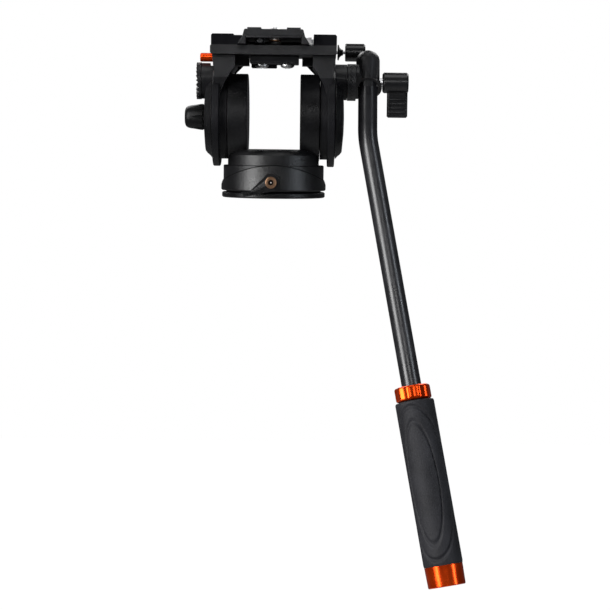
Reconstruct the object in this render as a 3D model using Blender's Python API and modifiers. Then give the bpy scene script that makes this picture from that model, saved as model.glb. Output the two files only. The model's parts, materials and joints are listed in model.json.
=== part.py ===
"""Fluid video head with a pan bar, sizes in metres.

The origin is on the pan axis at the underside of the mounting disc, with +Z up. The tilt axis lies along X,
the operator stands on the -Y side, and the pan bar hangs on the +X side.
"""

import math

import bmesh
import bpy

# Clearances and cuts shared by all pieces
SEAT_GAP = 0.0003
RUNNING_GAP = 0.0005
OVERRUN = 0.002
EDGE_BREAK = 0.0005
WELD_DISTANCE = 0.000001
SHARP_ANGLE = math.radians(35)

# Facets round a turned piece
LARGE_STEPS = 44
MEDIUM_STEPS = 24
SMALL_STEPS = 12
FLUTE_STEPS = 8

# Mounting disc and what stands on it
DISC_INSET = 0.0006
DISC_THICKNESS = 0.0039
DISC_CHAMFER = 0.0007
HUB_RADIUS = 0.0209
HUB_RISE = 0.0056
BUSHING_RADIUS = 0.008
SOCKET_RADIUS = 0.0048
SPINDLE_RADIUS = 0.007
SPINDLE_FLANGE_THICKNESS = 0.0032
SPINDLE_STEM = 0.013
FRICTION_RING_THICKNESS = 0.0005
FRICTION_RING_CLEARANCE = 0.0024
DRAG_RING_THICKNESS = 0.0022
DRAG_RING_BORE = 0.010
DAMPING_RING_THICKNESS = 0.001

# Rotating base shell with its wavy upper edge
SHELL_RADIUS = 0.0373
SHELL_TAPER = 0.001
SHELL_WALL = 0.0035
SHELL_FLOOR = 0.0032
SHELL_BELT_HEIGHT = 0.004
SHELL_SHOULDER_HEIGHT = 0.0058
WAVE_MEAN_HEIGHT = 0.0173
WAVE_AMPLITUDE = 0.0054
WAVES_ROUND = 2

# Yoke
DRUM_CLEARANCE = 0.0028
WINDOW_WIDTH = 0.037
NECK_HEIGHT = 0.0111
DRUM_RADIUS = 0.0308
DRUM_WIDTH = 0.0139
DRUM_WALL = 0.0088
DRUM_CAVITY_DEPTH = 0.0092
FOOT_INSET = 0.00055
FOOT_HEIGHT = 0.0229
NECK_INSET = 0.00125
NECK_CHAMFER_RISE = 0.0041
NECK_CHAMFER_RUN = 0.005
FOOT_WALL = 0.0025
FOOT_POCKET_HEIGHT = 0.0162

# Tilt axles and what turns on them
AXLE_RADIUS = 0.005
BUSH_WALL = 0.0017
BUSH_LENGTH = 0.004
BUSH_FLOOR = 0.002
AXLE_IN_ARM = 0.0093
DRAG_CARTRIDGE_WIDTH = 0.0068
SPRING_COIL_RADIUS = 0.012
SPRING_WIRE_RADIUS = 0.0009
SPRING_TURNS = 3
SPRING_POINTS_PER_TURN = 10

# Pan lock on the operator's side
PAN_LOCK_OFFSET = -0.001
PAN_LOCK_BOSS_RADIUS = 0.0062
PAN_LOCK_BOSS_PROUD = 0.0013
LEVER_THICKNESS = 0.003
LEVER_REACH = 0.0196
LEVER_DROP = 0.0085
LEVER_TIP_WIDTH = 0.0040
PAN_LOCK_SCREW_RADIUS = 0.003
PAN_LOCK_HEAD_RADIUS = 0.0044
PAN_LOCK_HEAD_HEIGHT = 0.002
HEX_SOCKET_RADIUS = 0.0019
HEX_SOCKET_DEPTH = 0.0013
HEX_SIDES = 6
BRAKE_SHOE_RADIUS = 0.0028
BRAKE_SHOE_TRAVEL_ROOM = 0.0006
BRAKE_SHOE_LENGTH = 0.003

# Tilt arms
SHOULDER_INSET = 0.0014
SHOULDER_WIDTH = 0.0052
FLANGE_OVERHANG = 0.0038
FLANGE_THICKNESS = 0.0053
FLANGE_RIM_DROP = 0.0003
ARM_HALF_DEPTH = 0.0255
ARM_TOP_WIDTH = 0.0161
ARM_WAIST_WIDTH = 0.0033
ARM_WAIST_RISE = 0.0282
ARM_DROP_SHARES = (0.0, 0.18, 0.26, 0.46, 0.65, 0.85, 1.0)
ARM_SPREAD_SHARES = (0.0, 0.0, 0.26, 0.7, 0.95, 1.0, 1.0)

# Side covers
COVER_INSET = 0.006
COVER_BEVEL_WIDTH = 0.0046
COVER_CROWN = 0.0063
COVER_FACE_EDGE = 0.0048
COVER_BEVEL_SHARES = ((0.37, 0.72), (0.68, 0.35), (1.0, 0.1), (1.0, 0.0))

# Rosettes
ROSETTE_RISE = 0.0255
ROSETTE_RADIUS = 0.013
ROSETTE_BORE = 0.0045
ROSETTE_TEETH = 24
ROSETTE_TOOTH_HALF_HEIGHT = 0.00095
ROSETTE_STANDOFF = 0.00435
ROSETTE_THICKNESS = 0.0024
ROSETTE_INNER_TOOTH_SHARE = 0.5
ROSETTE_BOSS_INSET = 0.0004

# Tilt lock knob
TILT_KNOB_RADIUS = 0.0094
TILT_KNOB_SHARES = ((0.5, 1.0), (0.69, 0.95), (0.8, 0.86), (0.86, 0.7), (0.99, 0.15), (1.0, 0.04))
TILT_KNOB_LENGTH = 0.0133
TILT_KNOB_SCREW_RADIUS = 0.003
TILT_KNOB_FLUTES = 12
TILT_KNOB_FLUTE_RADIUS = 0.0012

# Platform with its dovetail channel
PLATFORM_BULGE = 0.0007
PLATFORM_HALF_LENGTH = 0.033
PLATFORM_RISE = 0.0432
PLATFORM_THICKNESS = 0.0062
RAIL_HEIGHT = 0.00765
LIP_WIDTH = 0.0028
RIGHT_RAIL_WIDTH = 0.016
LIP_HEIGHT = 0.0067
PLATFORM_EDGE = 0.001
BUTTON_BOSS_HALF_WIDTH = 0.007
BUTTON_BOSS_DROP = 0.0069
BUTTON_BOSS_CLEARANCE = 0.0008
LOCK_BOSS_HALF_WIDTH = 0.007
LOCK_BOSS_DROP = 0.0056
LOCK_BOSS_CLEARANCE = 0.0023

# Camera plate
PLATE_LENGTH = 0.090
PLATE_BOTTOM_HALF_WIDTH = 0.0247
PLATE_WAIST_HALF_WIDTH = 0.0215
PLATE_TOP_HALF_WIDTH = 0.0203
PLATE_DOVETAIL_HEIGHT = 0.0051
PLATE_SLAB_THICKNESS = 0.0049
PLATE_HOLLOW_HALF_WIDTH = 0.0192
PLATE_SLOT_HALF_WIDTH = 0.0036
PLATE_SLOT_LENGTH = 0.045
DOVETAIL_SIDE_GAP = 0.0006
PAD_INNER = 0.0089
PAD_WIDTH = 0.0095
PAD_LENGTH = 0.074
PAD_RECESS = 0.0008
PAD_PROUD = 0.00165
PLATE_RIB_THICKNESS = 0.002
PLATE_RIB_INSET = 0.006
PLATE_RIB_GAP = 0.0008
CAMERA_SCREW_RADIUS = 0.0031
CAMERA_SCREW_PROUD = 0.0038
CAMERA_SCREW_HEAD_RADIUS = 0.0052
CAMERA_SCREW_HEAD_HEIGHT = 0.0013
CAMERA_SCREW_SLOT_WIDTH = 0.0012
SCREW_WASHER_RADIUS = 0.0042
SCREW_WASHER_HEIGHT = 0.0015

# Clamp jaw and the plate lock
JAW_HEIGHT = 0.0053
JAW_HALF_LENGTH = 0.030
JAW_TOP_WIDTH = 0.0024
JAW_FOOT_WIDTH = 0.0007
JAW_NECK_SHARE = 0.8
JAW_TRAVEL_ROOM = 0.0015
JAW_TONGUE_DEPTH = 0.0042
JAW_TONGUE_HALF_LENGTH = 0.008
JAW_TONGUE_WIDTH = 0.003
JAW_GUIDE_OFFSET = 0.022
JAW_GUIDE_HALF_LENGTH = 0.005
JAW_GUIDE_DEPTH = 0.0015
JAW_GUIDE_LIFT = 0.001
JAW_GUIDE_HEIGHT = 0.0036
PLATE_LOCK_DEPTH = 0.024
PLATE_LOCK_RISE = 0.0045
PLATE_LOCK_SCREW_RADIUS = 0.0012
PLATE_LOCK_COLLAR_RADIUS = 0.0056
PLATE_LOCK_COLLAR_GAP = 0.00145
PLATE_LOCK_COLLAR_LENGTH = 0.004
PLATE_LOCK_KNOB_GAP = 0.00155
PLATE_LOCK_KNOB_LENGTH = 0.0145
PLATE_LOCK_KNOB_RADIUS = 0.0064

# Safety button
BUTTON_DROP = 0.0011
BUTTON_RADIUS = 0.0031
BUTTON_PROUD = 0.0093
BUTTON_LENGTH = 0.0148
BUTTON_ROD_RADIUS = 0.0013
BUTTON_TRAVEL_ROOM = 0.006
BUTTON_SPRING_RADIUS = 0.0022
BUTTON_SPRING_WIRE = 0.00035
BUTTON_SPRING_TURNS = 4

# Cover under the platform
UNDER_COVER_CLEARANCE = 0.0013
UNDER_COVER_HALF_LENGTH = 0.016
UNDER_COVER_THICKNESS = 0.0052
UNDER_STEP_END = 0.0015
UNDER_STEP_GAP = 0.001
UNDER_STEP_DROP = 0.0024
UNDER_SCREW_SPACING = 0.0182
UNDER_SCREW_HEAD_RADIUS = 0.0049
UNDER_SCREW_HEAD_HEIGHT = 0.0026
UNDER_SCREW_SHANK_RADIUS = 0.0025
UNDER_SCREW_SHANK = 0.004

# Pan bar
BAR_TILT = math.radians(15)
BAR_ROSETTE_THICKNESS = 0.00325
TUBE_RADIUS = 0.0068
TUBE_WALL = 0.0015
TUBE_INSERT = 0.013
TUBE_BEND_DISTANCE = 0.04
TUBE_BEND_ANGLE = math.radians(10.05)
TUBE_BEND_RADIUS = 0.075
TUBE_SIDES_QUARTER = 4
TUBE_BEND_STEPS = 5
ELBOW_RADIUS = 0.0084
ELBOW_TOP = 0.0231
ELBOW_FRONT_LIP = 0.001
ELBOW_BACK_LIP = 0.0095
ELBOW_LIP_PROUD = 0.0016
ELBOW_LIP_HEIGHT = 0.004
ELBOW_FLANGE_RADIUS = 0.0129
ELBOW_FLANGE_THICKNESS = 0.002
ELBOW_NECK_RADIUS = 0.0084
ELBOW_DOME_SHARES = ((0.0, 1.0), (0.33, 1.0), (0.7, 0.8), (0.93, 0.5), (1.0, 0.23))
BAR_BOLT_RADIUS = 0.003
BAR_BOLT_IN_ARM = 0.005

# Wing knob
WING_KNOB_GAP = 0.002
WING_KNOB_LENGTH = 0.0183
WING_KNOB_RADIUS = 0.0073
WING_REACH = 0.0246
WING_THICKNESS = 0.005
WING_START = 0.0033
WING_END_INSET = 0.0004
WING_BOLT_DEPTH = 0.009

# Grip
FRONT_RING_START = 0.1797
FRONT_RING_LENGTH = 0.0098
FRONT_RING_RADIUS = 0.0124
FRONT_RING_FLUTES = 12
FRONT_RING_FLUTE_DEPTH = 0.0007
GRIP_RADIUS = 0.0136
GRIP_END_RADIUS = 0.0131
GRIP_LENGTH = 0.1125
GRIP_GAP = 0.0009
GRIP_END_ROUND = 0.0014
END_CAP_RADIUS = 0.0132
END_CAP_END_RADIUS = 0.0129
END_CAP_LENGTH = 0.0144
END_CAP_FLOOR = 0.002

# Colours as linear red, green, blue
CAST_BLACK = (0.016, 0.016, 0.018)
SATIN_BLACK = (0.028, 0.028, 0.031)
PLASTIC_BLACK = (0.02, 0.02, 0.021)
RUBBER_GREY = (0.045, 0.045, 0.05)
ANODISED_ORANGE = (0.75, 0.09, 0.012)
STEEL = (0.55, 0.55, 0.56)
BRONZE = (0.42, 0.25, 0.13)
BRASS = (0.60, 0.43, 0.18)
NYLON = (0.75, 0.73, 0.66)

# Heights and places that follow from the sizes above
DISC_RADIUS = SHELL_RADIUS - DISC_INSET
SHELL_TOP_RADIUS = SHELL_RADIUS - SHELL_TAPER
FOOT_RADIUS = SHELL_TOP_RADIUS - FOOT_INSET
NECK_RADIUS = FOOT_RADIUS - NECK_INSET
DISC_TO_SHELL_GAP = FRICTION_RING_THICKNESS + 2 * SEAT_GAP
SHELL_BOTTOM = DISC_THICKNESS + DISC_TO_SHELL_GAP
SHELL_FLOOR_TOP = SHELL_BOTTOM + SHELL_FLOOR
DAMPING_RING_BOTTOM = SHELL_FLOOR_TOP + SEAT_GAP
HUB_TOP = DISC_THICKNESS + HUB_RISE
FLANGE_BOTTOM = DAMPING_RING_BOTTOM + DAMPING_RING_THICKNESS + SEAT_GAP
FLANGE_TOP = FLANGE_BOTTOM + SPINDLE_FLANGE_THICKNESS
SPINDLE_TOP = FLANGE_TOP + SPINDLE_STEM
PAN_LOCK_HEIGHT = FLANGE_BOTTOM + SPINDLE_FLANGE_THICKNESS / 2
PAN_LOCK_BOSS_REACH = SHELL_RADIUS + PAN_LOCK_BOSS_PROUD
SHELL_BORE = SHELL_RADIUS - SHELL_WALL
FOOT_SKIRT_RADIUS = SHELL_BORE - SEAT_GAP
FOOT_BOTTOM = SHELL_FLOOR_TOP + SEAT_GAP
POCKET_RADIUS = FOOT_SKIRT_RADIUS - FOOT_WALL
SPINDLE_FLANGE_RADIUS = POCKET_RADIUS - 2 * RUNNING_GAP
TILT_AXIS_HEIGHT = FOOT_HEIGHT + DRUM_CLEARANCE + DRUM_RADIUS
WINDOW_FLOOR_HEIGHT = FOOT_HEIGHT + NECK_HEIGHT
DRUM_CAVITY_RADIUS = DRUM_RADIUS - DRUM_WALL
DRUM_INNER = WINDOW_WIDTH / 2
DRUM_OUTER = DRUM_INNER + DRUM_WIDTH
CAVITY_FLOOR = DRUM_OUTER - DRUM_CAVITY_DEPTH
BUSH_RADIUS = AXLE_RADIUS + SEAT_GAP + BUSH_WALL
BUSH_START = DRUM_INNER + BUSH_FLOOR + SEAT_GAP
SHOULDER_RADIUS = DRUM_RADIUS - SHOULDER_INSET
SHOULDER_INNER = DRUM_OUTER + SEAT_GAP
FLANGE_RADIUS = DRUM_RADIUS + FLANGE_OVERHANG
FLANGE_INNER = SHOULDER_INNER + SHOULDER_WIDTH
FLANGE_OUTER = FLANGE_INNER + FLANGE_THICKNESS
COVER_RADIUS = FLANGE_RADIUS - COVER_INSET
COVER_FACE_RADIUS = COVER_RADIUS - COVER_BEVEL_WIDTH
COVER_INNER = FLANGE_OUTER + SEAT_GAP
COVER_OUTER = COVER_INNER + COVER_CROWN
ROSETTE_HEIGHT = TILT_AXIS_HEIGHT + ROSETTE_RISE
ROSETTE_MESH_PLANE = COVER_OUTER + ROSETTE_STANDOFF
ROSETTE_BOSS_RADIUS = ROSETTE_RADIUS - ROSETTE_BOSS_INSET
ROSETTE_BACK = ROSETTE_MESH_PLANE - ROSETTE_THICKNESS
ROSETTE_BOSS_END = ROSETTE_BACK - SEAT_GAP
PLATFORM_UNDERSIDE = TILT_AXIS_HEIGHT + PLATFORM_RISE
CHANNEL_FLOOR = PLATFORM_UNDERSIDE + PLATFORM_THICKNESS
RAIL_TOP = CHANNEL_FLOOR + RAIL_HEIGHT
LEFT_RAIL_FACE = PLATE_BOTTOM_HALF_WIDTH + DOVETAIL_SIDE_GAP + LIP_WIDTH
JAW_BACK = PLATE_BOTTOM_HALF_WIDTH + DOVETAIL_SIDE_GAP + JAW_FOOT_WIDTH
RIGHT_RAIL_FACE = JAW_BACK + JAW_TRAVEL_ROOM
PLATFORM_HALF_WIDTH = RIGHT_RAIL_FACE + RIGHT_RAIL_WIDTH
ARM_TOP_HEIGHT = PLATFORM_UNDERSIDE - SEAT_GAP
ARM_OUTER_TOP = PLATFORM_HALF_WIDTH - SEAT_GAP
ARM_WAIST_HEIGHT = TILT_AXIS_HEIGHT + ARM_WAIST_RISE
ARM_WAIST_OUTER = FLANGE_INNER + ARM_WAIST_WIDTH
UNDER_COVER_HALF_WIDTH = DRUM_INNER - UNDER_COVER_CLEARANCE
BUTTON_BOSS_END = UNDER_COVER_HALF_WIDTH + BUTTON_BOSS_CLEARANCE
LOCK_BOSS_END = UNDER_COVER_HALF_WIDTH + LOCK_BOSS_CLEARANCE
BUTTON_HEIGHT = PLATFORM_UNDERSIDE - BUTTON_DROP
PLATE_LOCK_HEIGHT = PLATFORM_UNDERSIDE + PLATE_LOCK_RISE
PLATE_LOCK_COLLAR_START = PLATFORM_HALF_WIDTH + PLATE_LOCK_COLLAR_GAP
PLATE_LOCK_COLLAR_END = PLATE_LOCK_COLLAR_START + PLATE_LOCK_COLLAR_LENGTH
PLATE_LOCK_KNOB_START = PLATE_LOCK_COLLAR_END + PLATE_LOCK_KNOB_GAP
PLATE_BOTTOM = CHANNEL_FLOOR + SEAT_GAP
PLATE_WAIST = PLATE_BOTTOM + PLATE_DOVETAIL_HEIGHT
PLATE_TOP = PLATE_WAIST + PLATE_SLAB_THICKNESS
PLATE_HOLLOW_TOP = PLATE_WAIST + EDGE_BREAK
PAD_BOTTOM = PLATE_TOP - PAD_RECESS + SEAT_GAP
PAD_TOP = PLATE_TOP + PAD_PROUD
BAR_RING_START = ROSETTE_MESH_PLANE + SEAT_GAP
ELBOW_FACE = BAR_RING_START + BAR_ROSETTE_THICKNESS + SEAT_GAP
BAR_OFFSET = ELBOW_FACE + ELBOW_RADIUS
ELBOW_LIP_RADIUS = ELBOW_RADIUS + ELBOW_LIP_PROUD
WING_KNOB_START = BAR_OFFSET + ELBOW_RADIUS + WING_KNOB_GAP
BORE_RADIUS = TUBE_RADIUS + SEAT_GAP
BOLT_HOLE_RADIUS = BAR_BOLT_RADIUS + SEAT_GAP
GRIP_START = FRONT_RING_START + FRONT_RING_LENGTH + GRIP_GAP
END_CAP_START = GRIP_START + GRIP_LENGTH + SEAT_GAP
TUBE_END = END_CAP_START + END_CAP_LENGTH - END_CAP_FLOOR - SEAT_GAP


def clear_scene():
    for old in list(bpy.data.objects):
        bpy.data.objects.remove(old, do_unlink=True)


def new_collection(name):
    made = bpy.data.collections.new(name)
    bpy.context.scene.collection.children.link(made)
    return made


clear_scene()
PARTS = new_collection("fluid_video_head")
CUTTERS = new_collection("cutters")


def joint_frame(name, location, rotation=(0, 0, 0), parent=None):
    """An empty on a joint's axis, which carries the pieces that turn or slide together."""
    frame = bpy.data.objects.new(name, None)
    frame.location = location
    frame.rotation_euler = rotation
    frame.parent = parent
    PARTS.objects.link(frame)
    return frame


def finish(part, colour, roughness, metallic=0.0):
    made = bpy.data.materials.new(part.name + "_finish")
    made.use_nodes = True
    shader = made.node_tree.nodes["Principled BSDF"]
    shader.inputs["Base Color"].default_value = (*colour, 1.0)
    shader.inputs["Roughness"].default_value = roughness
    shader.inputs["Metallic"].default_value = metallic
    part.data.materials.clear()
    part.data.materials.append(made)
    return part


def cast_metal(part):
    return finish(part, CAST_BLACK, 0.55)


def satin_metal(part):
    return finish(part, SATIN_BLACK, 0.4)


def bare_metal(part, colour):
    return finish(part, colour, 0.3, 1.0)


def to_helper(part):
    """Moves a shape to the cutters, where it is only used to cut or to join."""
    PARTS.objects.unlink(part)
    CUTTERS.objects.link(part)
    part.hide_render = True
    part.display_type = "WIRE"
    return part


def boolean(part, tool, operation):
    to_helper(tool)
    change = part.modifiers.new(tool.name, "BOOLEAN")
    change.operation = operation
    change.object = tool
    return part


def cut(part, *tools):
    for tool in tools:
        boolean(part, tool, "DIFFERENCE")
    return part


def joined(part, *tools):
    for tool in tools:
        boolean(part, tool, "UNION")
    return part


def object_from(name, shape, parent=None):
    mesh = bpy.data.meshes.new(name)
    shape.to_mesh(mesh)
    shape.free()
    part = bpy.data.objects.new(name, mesh)
    part.parent = parent
    PARTS.objects.link(part)
    return part


def block(name, low, high, parent=None, bevel=0.0):
    """A box between two corners, with its edges broken where bevel is given."""
    size = [b - a for a, b in zip(low, high)]
    shape = bmesh.new()
    bmesh.ops.create_cube(shape, size=1.0)
    bmesh.ops.scale(shape, vec=size, verts=shape.verts)
    part = object_from(name, shape, parent)
    part.location = [(a + b) / 2 for a, b in zip(low, high)]
    if bevel:
        edges = part.modifiers.new("edges", "BEVEL")
        edges.width = bevel
        edges.segments = 1
    return part


def turned(name, profile, steps=LARGE_STEPS, parent=None):
    """A solid of revolution round its own Z from (radius, height) points, down the outer side.

    A profile whose ends are both on the axis makes a solid piece. Any other is closed into a ring.
    """
    shape = bmesh.new()
    points = [shape.verts.new((radius, 0.0, height)) for radius, height in profile]
    for first, second in zip(points, points[1:]):
        shape.edges.new((first, second))
    if profile[0][0] or profile[-1][0]:
        shape.edges.new((points[-1], points[0]))
    part = object_from(name, shape, parent)
    turn = part.modifiers.new("turn", "SCREW")
    turn.steps = steps
    turn.render_steps = steps
    turn.use_merge_vertices = True
    turn.merge_threshold = WELD_DISTANCE
    turn.use_smooth_shade = True
    return part


def rod(name, radius, start, end, steps=SMALL_STEPS, parent=None, break_edges=0.0):
    """A round bar along its own Z, with chamfered ends where break_edges is given."""
    if not break_edges:
        profile = [(0, end), (radius, end), (radius, start), (0, start)]
    else:
        slim = radius - break_edges
        profile = [(0, end), (slim, end), (radius, end - break_edges)]
        profile += [(radius, start + break_edges), (slim, start), (0, start)]
    return turned(name, profile, steps, parent)


def ring(name, inner, outer, start, end, steps=LARGE_STEPS, parent=None):
    profile = [(inner, end), (outer, end), (outer, start), (inner, start)]
    return turned(name, profile, steps, parent)


def along_x(part, side, height, depth=0.0):
    """Lays a turned piece along X, with its own Z pointing away from the middle on the given side."""
    part.rotation_euler = (0, side * math.pi / 2, 0)
    part.location = (0, depth, height)
    return part


def toward_operator(part, offset, height):
    """Lays a turned piece along Y, with its own Z pointing to the operator."""
    part.rotation_euler = (math.pi / 2, 0, 0)
    part.location = (offset, 0, height)
    return part


def solid_from_curve(guide):
    """The filled or bevelled curve as a mesh object with its caps welded, in the curve's place."""
    bpy.context.view_layer.update()
    graph = bpy.context.evaluated_depsgraph_get()
    mesh = bpy.data.meshes.new_from_object(guide.evaluated_get(graph))
    shape = bmesh.new()
    shape.from_mesh(mesh)
    bmesh.ops.remove_doubles(shape, verts=shape.verts, dist=WELD_DISTANCE)
    bmesh.ops.recalc_face_normals(shape, faces=shape.faces)
    shape.to_mesh(mesh)
    shape.free()
    name = guide.name
    guide.name = name + "_guide"
    part = bpy.data.objects.new(name, mesh)
    part.parent = guide.parent
    part.location = guide.location
    part.rotation_euler = guide.rotation_euler
    PARTS.objects.link(part)
    outline = guide.data
    bpy.data.objects.remove(guide, do_unlink=True)
    bpy.data.curves.remove(outline)
    return part


def curve_guide(name, points, closed, parent=None):
    outline = bpy.data.curves.new(name, "CURVE")
    spline = outline.splines.new("POLY")
    spline.points.add(len(points) - 1)
    for target, point in zip(spline.points, points):
        target.co = (*point, 1.0)
    spline.use_cyclic_u = closed
    guide = bpy.data.objects.new(name, outline)
    guide.parent = parent
    PARTS.objects.link(guide)
    return guide


def prism(name, outline, start, end, parent=None):
    """An outline of (x, z) points carried along Y from start to end."""
    guide = curve_guide(name, [(x, z, 0.0) for x, z in outline], True, parent)
    guide.data.dimensions = "2D"
    guide.data.fill_mode = "BOTH"
    guide.data.extrude = abs(end - start) / 2
    guide.rotation_euler = (math.pi / 2, 0, 0)
    guide.location = (0, (start + end) / 2, 0)
    part = solid_from_curve(guide)
    part.data.shade_smooth()
    part.data.set_sharp_from_angle(angle=SHARP_ANGLE)
    return part


def wire(name, points, radius, resolution=2, parent=None):
    guide = curve_guide(name, points, False, parent)
    guide.data.dimensions = "3D"
    guide.data.bevel_depth = radius
    guide.data.bevel_resolution = resolution
    guide.data.use_fill_caps = True
    part = solid_from_curve(guide)
    part.data.shade_smooth()
    part.data.set_sharp_from_angle(angle=SHARP_ANGLE)
    return part


def wave_height(angle):
    """Height of the shell's upper edge at an angle from the +X axis, highest on the operator's side."""
    return WAVE_MEAN_HEIGHT - WAVE_AMPLITUDE * math.cos(WAVES_ROUND * angle)


def wavy(part, from_height, lift):
    """Bakes a turned piece and moves its points at one height on to the wave."""
    bpy.context.view_layer.update()
    graph = bpy.context.evaluated_depsgraph_get()
    mesh = bpy.data.meshes.new_from_object(part.evaluated_get(graph))
    part.modifiers.clear()
    part.data = mesh
    for vertex in mesh.vertices:
        if abs(vertex.co.z - from_height) < WELD_DISTANCE:
            vertex.co.z = wave_height(math.atan2(vertex.co.y, vertex.co.x)) + lift
    return part


def mounting_disc():
    low_rim = DISC_RADIUS - DISC_CHAMFER
    profile = [
        (BUSHING_RADIUS + SEAT_GAP, HUB_TOP),
        (HUB_RADIUS, HUB_TOP),
        (HUB_RADIUS, DISC_THICKNESS),
        (low_rim, DISC_THICKNESS),
        (DISC_RADIUS, DISC_THICKNESS - DISC_CHAMFER),
        (DISC_RADIUS, DISC_CHAMFER),
        (low_rim, 0.0),
        (BUSHING_RADIUS + SEAT_GAP, 0.0),
    ]
    return cast_metal(turned("mounting_disc", profile))


def thread_bushing():
    part = ring("thread_bushing", SOCKET_RADIUS, BUSHING_RADIUS, SEAT_GAP, HUB_TOP, MEDIUM_STEPS)
    return bare_metal(part, BRASS)


def pan_spindle():
    tip = SPINDLE_RADIUS - EDGE_BREAK
    profile = [
        (0, SPINDLE_TOP),
        (tip, SPINDLE_TOP),
        (SPINDLE_RADIUS, SPINDLE_TOP - EDGE_BREAK),
        (SPINDLE_RADIUS, FLANGE_TOP),
        (SPINDLE_FLANGE_RADIUS, FLANGE_TOP),
        (SPINDLE_FLANGE_RADIUS, FLANGE_BOTTOM),
        (0, FLANGE_BOTTOM),
    ]
    return bare_metal(turned("pan_spindle", profile, MEDIUM_STEPS), STEEL)


def pan_rings():
    outer = SHELL_BORE
    bottom = DISC_THICKNESS + SEAT_GAP
    top = bottom + FRICTION_RING_THICKNESS
    lower = ring("pan_friction_ring", HUB_RADIUS + FRICTION_RING_CLEARANCE, outer, bottom, top)
    finish(lower, NYLON, 0.5)
    top = DAMPING_RING_BOTTOM + DAMPING_RING_THICKNESS
    inner = HUB_RADIUS + 2 * RUNNING_GAP
    outer = SPINDLE_FLANGE_RADIUS
    middle = ring("pan_damping_ring", inner, outer, DAMPING_RING_BOTTOM, top, MEDIUM_STEPS)
    finish(middle, NYLON, 0.5)
    start = FLANGE_TOP + SEAT_GAP
    upper = ring("pan_drag_ring", DRAG_RING_BORE, outer, start, start + DRAG_RING_THICKNESS, MEDIUM_STEPS)
    bare_metal(upper, BRASS)


def pan_lock_bore(name):
    radius = PAN_LOCK_SCREW_RADIUS + SEAT_GAP
    hole = rod(name, radius, POCKET_RADIUS - OVERRUN, PAN_LOCK_BOSS_REACH + OVERRUN, parent=PAN_FRAME)
    return toward_operator(hole, PAN_LOCK_OFFSET, PAN_LOCK_HEIGHT)


def base_shell():
    flat_top = WAVE_MEAN_HEIGHT
    profile = [
        (SHELL_BORE, flat_top),
        (SHELL_TOP_RADIUS, flat_top),
        ((SHELL_TOP_RADIUS + SHELL_RADIUS) / 2, SHELL_BOTTOM + SHELL_SHOULDER_HEIGHT),
        (SHELL_RADIUS, SHELL_BOTTOM + SHELL_BELT_HEIGHT),
        (SHELL_RADIUS, SHELL_BOTTOM + DISC_CHAMFER),
        (SHELL_RADIUS - DISC_CHAMFER, SHELL_BOTTOM),
        (HUB_RADIUS + RUNNING_GAP, SHELL_BOTTOM),
        (HUB_RADIUS + RUNNING_GAP, SHELL_FLOOR_TOP),
        (SHELL_BORE, SHELL_FLOOR_TOP),
    ]
    part = wavy(turned("base_shell", profile, parent=PAN_FRAME), flat_top, 0.0)
    start = SHELL_BORE + SHELL_WALL / 2
    radius = PAN_LOCK_BOSS_RADIUS
    boss = rod("pan_lock_boss", radius, start, PAN_LOCK_BOSS_REACH, MEDIUM_STEPS, PAN_FRAME, EDGE_BREAK)
    joined(part, toward_operator(boss, PAN_LOCK_OFFSET, PAN_LOCK_HEIGHT))
    cut(part, pan_lock_bore("shell_lock_bore"))
    return cast_metal(part)


def drum(side):
    low = DRUM_INNER
    high = DRUM_OUTER
    slim = DRUM_RADIUS - EDGE_BREAK
    profile = [(0, high), (slim, high), (DRUM_RADIUS, high - EDGE_BREAK)]
    profile += [(DRUM_RADIUS, low + EDGE_BREAK), (slim, low), (0, low)]
    name = "right_drum" if side > 0 else "left_drum"
    return along_x(turned(name, profile, parent=PAN_FRAME), side, TILT_AXIS_HEIGHT)


def drum_cavity(side):
    floor = BUSH_START - SEAT_GAP
    bore = BUSH_RADIUS + SEAT_GAP
    profile = [
        (0, DRUM_OUTER + OVERRUN),
        (DRUM_CAVITY_RADIUS, DRUM_OUTER + OVERRUN),
        (DRUM_CAVITY_RADIUS, CAVITY_FLOOR),
        (bore, CAVITY_FLOOR),
        (bore, floor),
        (0, floor),
    ]
    name = "right_drum_cavity" if side > 0 else "left_drum_cavity"
    return along_x(turned(name, profile, MEDIUM_STEPS, PAN_FRAME), side, TILT_AXIS_HEIGHT)


def neck_side(side):
    """Cuts the neck a hair behind the drum's outer face above the foot."""
    face = side * (DRUM_OUTER - SEAT_GAP)
    beyond = side * (FOOT_RADIUS + OVERRUN)
    near = min(face, beyond)
    far = max(face, beyond)
    low = (near, -FOOT_RADIUS, FOOT_HEIGHT)
    high = (far, FOOT_RADIUS, WINDOW_FLOOR_HEIGHT + OVERRUN)
    return block("right_neck_side" if side > 0 else "left_neck_side", low, high, PAN_FRAME)


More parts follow.
